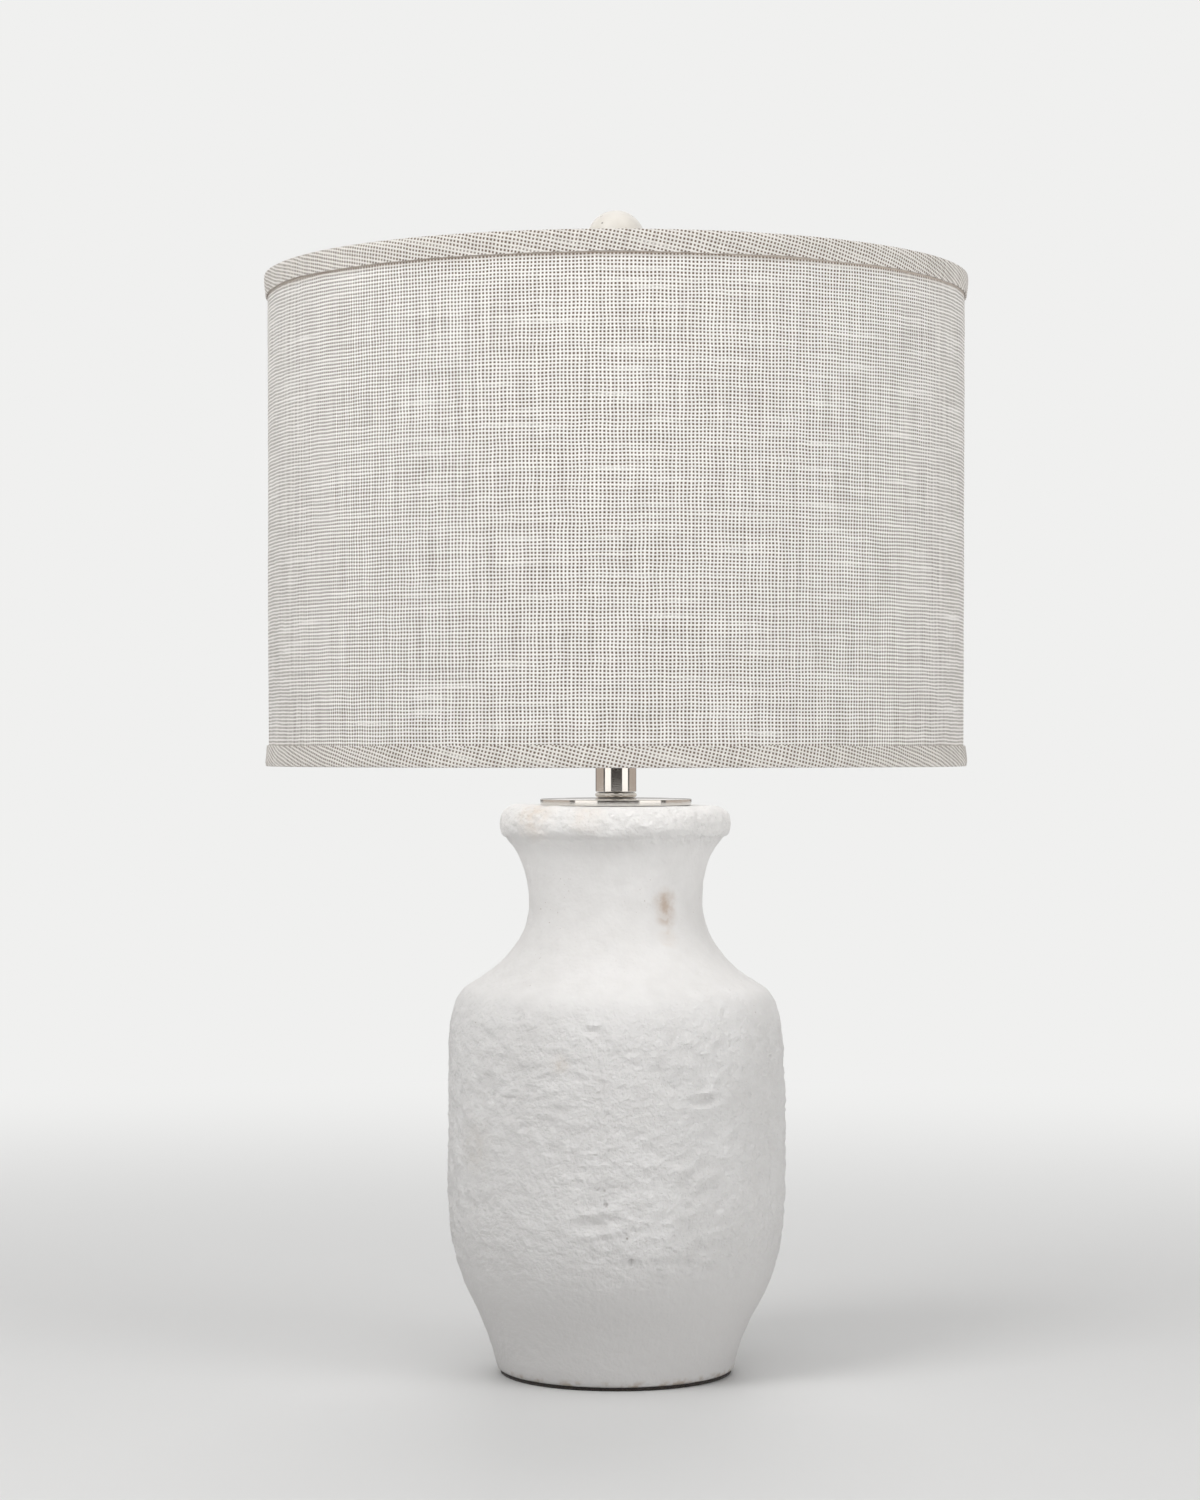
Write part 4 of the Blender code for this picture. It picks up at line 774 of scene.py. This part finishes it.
face_outside = globe_line(globe_radius, 0.0122)
face_inside = globe_line(globe_radius - glass_wall, 0.0122 - glass_wall)
envelope = np.vstack([face_outside[::-1], face_inside])
settle(turned("globe", envelope, 128, glass), "bulb", "frosted_glass", "bulb_glass")
screw_cap = above(bulb_cap_low, (0.0106, 0.0), (0.0111, 0.0))
screw_cap += upright(0.01285, bulb_cap_low + 0.0020, bulb_cap_high - 0.0004, 52)
screw_cap += above(bulb_cap_high, (0.0131, 0.0), (0.0126, 0.0))
screw_cap += upright(0.01255, bulb_cap_high - 0.0006, bulb_cap_low + 0.0020, 52)
thread_low, thread_high = bulb_cap_low + 0.0024, bulb_cap_high - 0.0030
cap_grid = threaded(screw_cap, screw_pitch, screw_thread, thread_low, thread_high, 96)
screw_cap = skin("bulb_screw_cap", cap_grid, zinc.material, (True, True))
settle(screw_cap, "bulb", "zinc_plate", "bulb_cap")
seat_low, seat_high = levels("bulb_insulator")
seat = above(seat_low, (0.0, 0.0), (0.0050, 0.0), (0.0056, 0.0006), (0.0066, 0.0016))
seat += [(0.0095, seat_low + 0.0038)]
seat += above(seat_high, (0.0110, -0.0004), (0.0110, 0.0), (0.0, 0.0))
settle(turned("cap_insulator", seat, 64, phenolic), "bulb", "moulded_phenolic", "bulb_insulator")
solder_low, solder_high = levels("bulb_tip")
solder = above(solder_low, (0.0, 0.0), (0.0020, 0.0), (0.0034, 0.0004), (0.0046, 0.0011))
solder += above(solder_high, (0.0050, 0.0), (0.0, 0.0))
settle(turned("solder_tip", solder, 48, brass), "bulb_screw", "brass", "bulb_tip")


# Shade frame: two rings and a three-armed spider of plated steel wire, the arms welded under a
# punched hub and turned up at their ends to meet the top ring.
shade_bottom, shade_top = levels("bottom_trim")[0], levels("top_trim")[1]
cloth_thick, liner_thick, frame_wire = 0.0008, 0.0005, 0.0016
DRUM_RADIUS, DRUM_TAPER = 0.2135, 0.0008


def drum(height):
    """The cloth's outer radius at a height; the drum tapers a little towards its bottom."""
    return DRUM_RADIUS - DRUM_TAPER * (1 - (height - shade_bottom) / (shade_top - shade_bottom))


def frame_radius(height):
    """The radius of a ring's wire, from the axis to the middle of the wire, at a height."""
    return drum(height) - cloth_thick - gap - liner_thick - gap - frame_wire


wire_turn = np.arange(16) * 2 * pi / 16
wire_round = frame_wire * np.stack([np.cos(wire_turn), np.sin(wire_turn)], -1)
for name, node in (("ring_above", "top_ring"), ("ring_below", "bottom_ring")):
    middle = sum(levels(node)) / 2
    ring = turned(name, wire_round + (frame_radius(middle), middle), 360, nickel)
    settle(ring, "shade", "polished_nickel", node)
hub_low, arm_top = levels("spider")
hub_bore, hub_radius, hub_thick = 0.00355, 0.0125, 0.0016
hub = above(hub_low, (hub_bore, 0.0), (hub_radius, 0.0), (hub_radius, hub_thick))
hub = soften([*hub, (hub_bore, hub_low + hub_thick)], 0.0004)
settle(turned("spider_hub", hub, 96, nickel), "shade", "polished_nickel", "spider")
arm_level = hub_low + hub_thick / 2
arm_reach = frame_radius(arm_level)
bend = 2 * frame_wire
elbow_turn = np.linspace(-pi / 2, 0.0, 12)
arm = [(along, arm_level) for along in np.linspace(0.0109, arm_reach - bend, 40)[:-1]]
arm += [(arm_reach - bend + bend * cos(a), arm_level + bend + bend * sin(a)) for a in elbow_turn]
arm = np.array(arm + [(arm_reach, arm_top - 0.0006)])
for count, bearing in enumerate(radians(angle) for angle in (90, 210, 330)):
    out = np.array((cos(bearing), sin(bearing), 0.0))
    path = arm[:, :1] * out + arm[:, 1:] * np.array((0.0, 0.0, 1.0))
    across = (-sin(bearing), cos(bearing), 0.0)
    piece = wire(f"spider_arm_{count + 1}", path, nickel, frame_wire, across, sides=16)
    settle(piece, "shade", "polished_nickel", "spider")


# Shade lining: one sheet of white styrene rolled to a drum, which stiffens the cloth stuck to it.
styrene = Finish("white_styrene")
cloudy = styrene.noise(9.0, 3.0)
lining = styrene.mix(cloudy, (0.76, 0.75, 0.73), (0.82, 0.81, 0.79))
calender = styrene.noise(160.0, 2.0)
rolled = styrene.bump(calender, 0.00006)
styrene.dress({"Base Color": lining, "Roughness": 0.42 + cloudy * 0.1, "Normal": rolled})
cloth_low, cloth_high = levels("shade_cloth")


def drum_layer(inset, thick, rows):
    """One layer of the drum wall, a closed outline; its outer face is inset from the cloth's."""
    rise = np.linspace(cloth_low, cloth_high, rows)
    outward, inward = (np.stack([drum(rise) - into, rise], -1) for into in (inset, inset + thick))
    return np.vstack([outward, inward[::-1]])


liner_grid = spin(drum_layer(cloth_thick + gap, liner_thick, 12), 480)
lining = skin("drum_lining", liner_grid, styrene.material, (True, True))
settle(lining, "shade", "white_styrene", "shade_liner")
past_shade.objects.link(lining)


# Shade cloth: one length of coarse open plain weave in slubby off-white yarn, wrapped round the
# lining and lapped at the back.
ACROSS, UP = 0.00216, 0.00205  # from one yarn to the next, round the drum and up it


def weave(name, yarn, gap_shade_colour, slant):
    """Plain weave in thread units. across and up are the sines of pi times u and v: their sizes say
    how much of warp and weft is there, and the sign of their product says which lies on top."""
    cloth = Finish(name)
    flat = cloth.node("ShaderNodeUVMap", {"uv_map": "threads"})
    flat = cloth.stretch(flat, turn=(0.0, 0.0, slant))
    inputs = {"Vector": flat, "Scale": 0.13, "Detail": 2.0}
    wander = cloth.node("ShaderNodeTexNoise", (), inputs, "Color")
    inputs = {0: wander, 1: (0.8, 0.7, 0.0), 2: flat}
    wobble = cloth.node("ShaderNodeVectorMath", {"operation": "MULTIPLY_ADD"}, inputs)
    u, v, _ = cloth.axes(wobble)
    column = cloth.noise(1.0, 0.0, cloth.stretch(flat, (0.9, 0.045, 0.0)))
    row = cloth.noise(1.0, 1.0, cloth.stretch(flat, (0.035, 0.9, 0.0)))
    across, up = (cloth.maths("SINE", line * pi) for line in (u, v))
    over = across * up
    warp, weft = abs(across) * (0.80 + column * 0.40), abs(up) * (0.76 + row * 0.48)
    lift = over * 0.3
    height = cloth.maths("MAXIMUM", warp * (0.7 + lift), weft * (0.7 - lift))
    # Painted shade: the gaps between yarns get a dark colour, for the shaded lining behind them.
    painted_gap_shade = (1 - cloth.ease(warp, 0.48, 0.98)) * (1 - cloth.ease(weft, 0.48, 0.98))
    slub = cloth.ease(row, 0.60, 0.82)
    fibre = cloth.noise(2.6, 4.0, flat)
    dark_yarn, dark_fibre = (tuple(share * c for c in yarn) for share in (0.93, 0.80))
    tint = cloth.mix(cloth.ease(row * 0.5 + column * 0.5, 0.34, 0.66), dark_yarn, yarn)
    tint = cloth.mix(cloth.ease(fibre, 0.45, 0.75) * 0.14, tint, dark_fibre)
    tint = cloth.mix(painted_gap_shade * (1 - slub * 0.75), tint, gap_shade_colour)
    woven = cloth.bump(height + fibre * 0.22, 0.00045)
    cloth.dress({"Base Color": tint, "Roughness": 0.88, "Sheen Weight": 0.12, "Normal": woven})
    return cloth


# Off-white yarn, with painted shade for the gaps between the yarns.
cloth = weave("woven_cloth", (0.975, 0.947, 0.912), (0.13, 0.088, 0.058), 0.0)
binding_depth = 0.0125
binding_lower_edge = shade_top - binding_depth
tint = Number(cloth, cloth.shader.inputs["Base Color"].links[0].from_socket)
height_up = cloth.axes(cloth.place())[2]
# Painted shadow: a soft brown band on the cloth under the top binding, darker right at its edge.
painted_binding_shadow = cloth.ease(height_up, binding_lower_edge - 0.0042, binding_lower_edge - 0.0002) * 0.30
painted_binding_shadow = painted_binding_shadow + cloth.ease(height_up, binding_lower_edge - 0.0012, binding_lower_edge - 0.0006) * 0.35
cloth.dress({"Base Color": cloth.mix(painted_binding_shadow, tint, (0.36, 0.27, 0.20))})
CLOTH_ROWS, CLOTH_SIDES = 60, 720
cloth_grid = spin(drum_layer(0.0, cloth_thick, CLOTH_ROWS), CLOTH_SIDES)
cloth_turn = np.arange(CLOTH_SIDES) * 2 * pi / CLOTH_SIDES
from_seam = np.abs(np.angle(np.exp(1j * (cloth_turn - pi / 2)))) * DRUM_RADIUS
rise = cloth_grid[..., 2]
clear = step(np.minimum(rise - cloth_low, cloth_high - rise), 0.013, 0.022)
outer_side = np.arange(2 * CLOTH_ROWS)[:, None] < CLOTH_ROWS
swell = 0.00035 * lumps(cloth_grid, 0.060, 31)
swell += 0.00012 * lumps(cloth_grid * (1.0, 1.0, 3.0), 0.018, 32)
swell += 0.00055 * (1 - step(from_seam, 0.0052, 0.0068))
cloth_grid[..., :2] *= (1 + swell * clear * outer_side / DRUM_RADIUS)[..., None]
rise_line = np.linspace(0.0, (cloth_high - cloth_low) / UP, CLOTH_ROWS)
up_line = np.concatenate([rise_line, rise_line[::-1], rise_line[:1]])
turn_line = np.linspace(0.0, round(2 * pi * 0.2131 / ACROSS / 2) * 2, CLOTH_SIDES + 1)
shade_cloth = skin("linen_drum", cloth_grid, cloth.material, (True, True), (up_line, turn_line))
settle(shade_cloth, "shade", "woven_cloth", "shade_cloth")
past_shade.objects.link(shade_cloth)
for let_past in past_shade.collection_objects:
    let_past.light_linking.link_state = "EXCLUDE"


# Bias trims: strips of the same cloth cut on the slant, folded over the two ends of the drum and
# stuck down outside and inside, so their yarns lean and their free edges are not quite straight.
# Each is joined at the back.
def binding(name, node, edge, way, slant, seed):
    """A strip folded over an edge of the drum; way is +1 where its fold is on top, -1 below. Its
    outline runs up the outer leg, over the fold, down the inner leg and back along the inside."""
    depth, inside_depth, puff, binding_thick, leg_rows = binding_depth, 0.0100, 0.0010, 0.0010, 14

    def outer_face(height):
        return drum(height) + gap

    def inner_face(height):
        return frame_radius(height) - frame_wire - gap

    down = np.linspace(depth, 0.0014, leg_rows)
    height = edge - way * down
    swell = puff * np.sin(np.clip((depth - down) / (depth * 0.75), 0, 1) * pi / 2) ** 1.2
    out = outer_face(height) + binding_thick + swell - 0.0003 * (down < 0.002)
    outside = np.stack([out, height], -1)
    fold = np.array((outer_face(edge) + binding_thick + puff * 0.6, edge - way * 0.0005))
    over = [fold, (outer_face(edge) + 0.0009, edge - way * 0.0001)]
    over += [(inner_face(edge) + along, edge) for along in np.linspace(0.0030, 0.0002, 4)]
    over += [(inner_face(edge) - 0.0007, edge - way * 0.0003)]
    down = np.linspace(0.0010, inside_depth, 10)
    height = edge - way * down
    inside = np.stack([inner_face(height) - binding_thick, height], -1)
    back_down = inside_depth, binding_thick
    back_way = [(inner_face(edge - way * d), edge - way * d) for d in back_down]
    back_way += [(outer_face(edge - way * binding_thick), edge - way * binding_thick)]
    back_way += [(outer_face(edge - way * depth), edge - way * depth)]
    outline = np.vstack([outside, over, inside, back_way])
    sides = 720
    grid = spin(outline, sides)
    turn = np.arange(sides) * 2 * pi / sides
    ring = np.stack([np.cos(turn), np.sin(turn), 0.0 * turn], -1) * DRUM_RADIUS
    row = np.arange(len(outline))
    from_edge = np.abs(outline[:, 1] - edge)
    loose = (row < leg_rows) * np.clip((from_edge - 0.004) / (depth - 0.004), 0, 1)
    loose = np.maximum(loose, row == len(outline) - 1)[:, None]
    waver = 0.00045 * lumps(ring, 0.050, seed) + 0.00022 * lumps(ring, 0.013, seed + 1)
    grid[..., 2] += loose * waver
    full = (row < leg_rows) * np.sin(np.clip((depth - from_edge) / depth, 0, 1) * pi)
    soft = 0.00030 * lumps(ring, 0.028, seed + 2) + 0.00015 * lumps(ring, 0.009, seed + 3)
    from_seam = np.abs(np.angle(np.exp(1j * (turn - pi / 2)))) * DRUM_RADIUS
    lap = 0.00050 * (1 - step(from_seam, 0.0035, 0.0045))
    grid[..., :2] *= (1 + full[:, None] * (soft + lap - 0.0002) / DRUM_RADIUS)[..., None]
    run = np.diff(np.vstack([outline, outline[:1]]), axis=0)
    length = np.append(0.0, np.cumsum(np.hypot(*run.T)))
    threads = (length * way / ACROSS, np.linspace(0.0, 2 * pi * DRUM_RADIUS / ACROSS, sides + 1))
    # Its weave also has painted shade in the gaps between the yarns.
    finish = weave(name + "_weave", (0.87, 0.835, 0.79), (0.15, 0.105, 0.072), radians(slant))
    strip = skin(name, grid, finish.material, (True, True), threads)
    settle(strip, "shade", "bias_binding", node)


binding("binding_above", "top_trim", shade_top, 1, 12.0, 51)
binding("binding_below", "bottom_trim", shade_bottom, -1, 14.0, 61)


# Finial: a glazed white ceramic ball cemented on a turned nickel neck. The threaded brass insert in
# the neck, which screws down on the stud, is with the small hardware.
glaze = Finish("white_glaze")
pooling = glaze.noise(70.0, 3.0)
cream = glaze.mix(glaze.ease(pooling, 0.35, 0.7), (0.76, 0.715, 0.65), (0.80, 0.765, 0.705))
ball_radius = 0.0180
ball_low, ball_high = levels("finial_ball")
ball_middle = ball_high - ball_radius
for point, reach, strength in (
    ((-0.0085, -0.0135, ball_middle + 0.0085), 0.0011, 0.9),
    ((0.0060, -0.0160, ball_middle + 0.0050), 0.0006, 0.5),
):
    cream = glaze.mix(glaze.near(point, reach) * strength, cream, (0.10, 0.07, 0.05))
glaze.dress(
    {
        "Base Color": cream,
        "Roughness": 0.22 + pooling * 0.14,
        "Coat Weight": 0.4,
        "Coat Roughness": 0.08,
        "Normal": glaze.bump(glaze.noise(210.0, 2.0), 0.00012),
    }
)
flat_turn = -asin(0.0170 / ball_radius)
ball_turn = np.linspace(flat_turn, pi / 2, 56)[:, None]
ball = ball_radius * np.hstack([np.cos(ball_turn), np.sin(ball_turn)]) + (0.0, ball_middle)
ball[-1, 0] = 0.0
neck_top = ball_low - gap
spigot_top = neck_top + 0.0070
bored_to = spigot_top + gap
ball = np.vstack([ball[::-1], [(0.0043, ball_low), (0.0043, bored_to), (0.0, bored_to)]])
ball_grid = spin(ball, 112)
ball_grid[..., :2] *= 1 - 0.004 * (1 + lumps(ball_grid, 0.012, 71)[..., None]) / 2
ball = skin("glazed_ball", ball_grid, glaze.material, (False, True))
settle(ball, "finial", "white_glaze", "finial_ball")
neck_low = levels("finial_neck")[0]
waist = (0.0060, neck_low + (neck_top - neck_low) / 2)
neck = above(neck_low, (0.00475, 0.0), (0.0077, 0.0), (0.0080, 0.0004), (0.0080, 0.0016))
neck += [(0.0077, neck_low + 0.0020)]
neck += [*bezier(neck[-1], (-0.0015, 0.0010), (0.0, 0.0030), waist, 14)]
neck += [*bezier(waist, (0.0, 0.0040), (0.0010, 0.0020), (0.0068, neck_top - 0.0015), 14)]
neck += above(neck_top, (0.0070, -0.0008), (0.0068, 0.0), (0.0040, 0.0))
neck += [(0.0040, spigot_top), (0.0, spigot_top)]
neck += above(neck_low, (0.0, 0.0154), (0.00475, 0.0154))
neck = skin("finial_stem", spin(np.array(neck), 72), nickel.material, (True, True))
settle(neck, "finial", "polished_nickel", "finial_neck")


# Small hardware, kept as packed: the pipe and what clamps it, the saddle and ferrules, the socket's
# moulded body, screws and contact, the switch shaft and the finial's insert. All get worn edges.
for finish, nodes in (
    (zinc, "threaded_pipe floor_washer lock_washer pipe_nut harp_saddle saddle_nut ferrule_left"),
    (zinc, "ferrule_right socket_set_screw"),
    (phenolic, "socket_block"),
    (brass, "centre_contact terminal_screw_left terminal_screw_right switch_shaft finial_insert"),
):
    for node in nodes.split():
        kept = bpy.data.objects[node]
        for slot in kept.material_slots:
            slot.material = finish.material
        worn_edges = kept.modifiers.new("worn_edges", "BEVEL")
        worn_edges.width = 0.00015
        worn_edges.segments = 2
        worn_edges.limit_method = "ANGLE"
        worn_edges.angle_limit = radians(40)
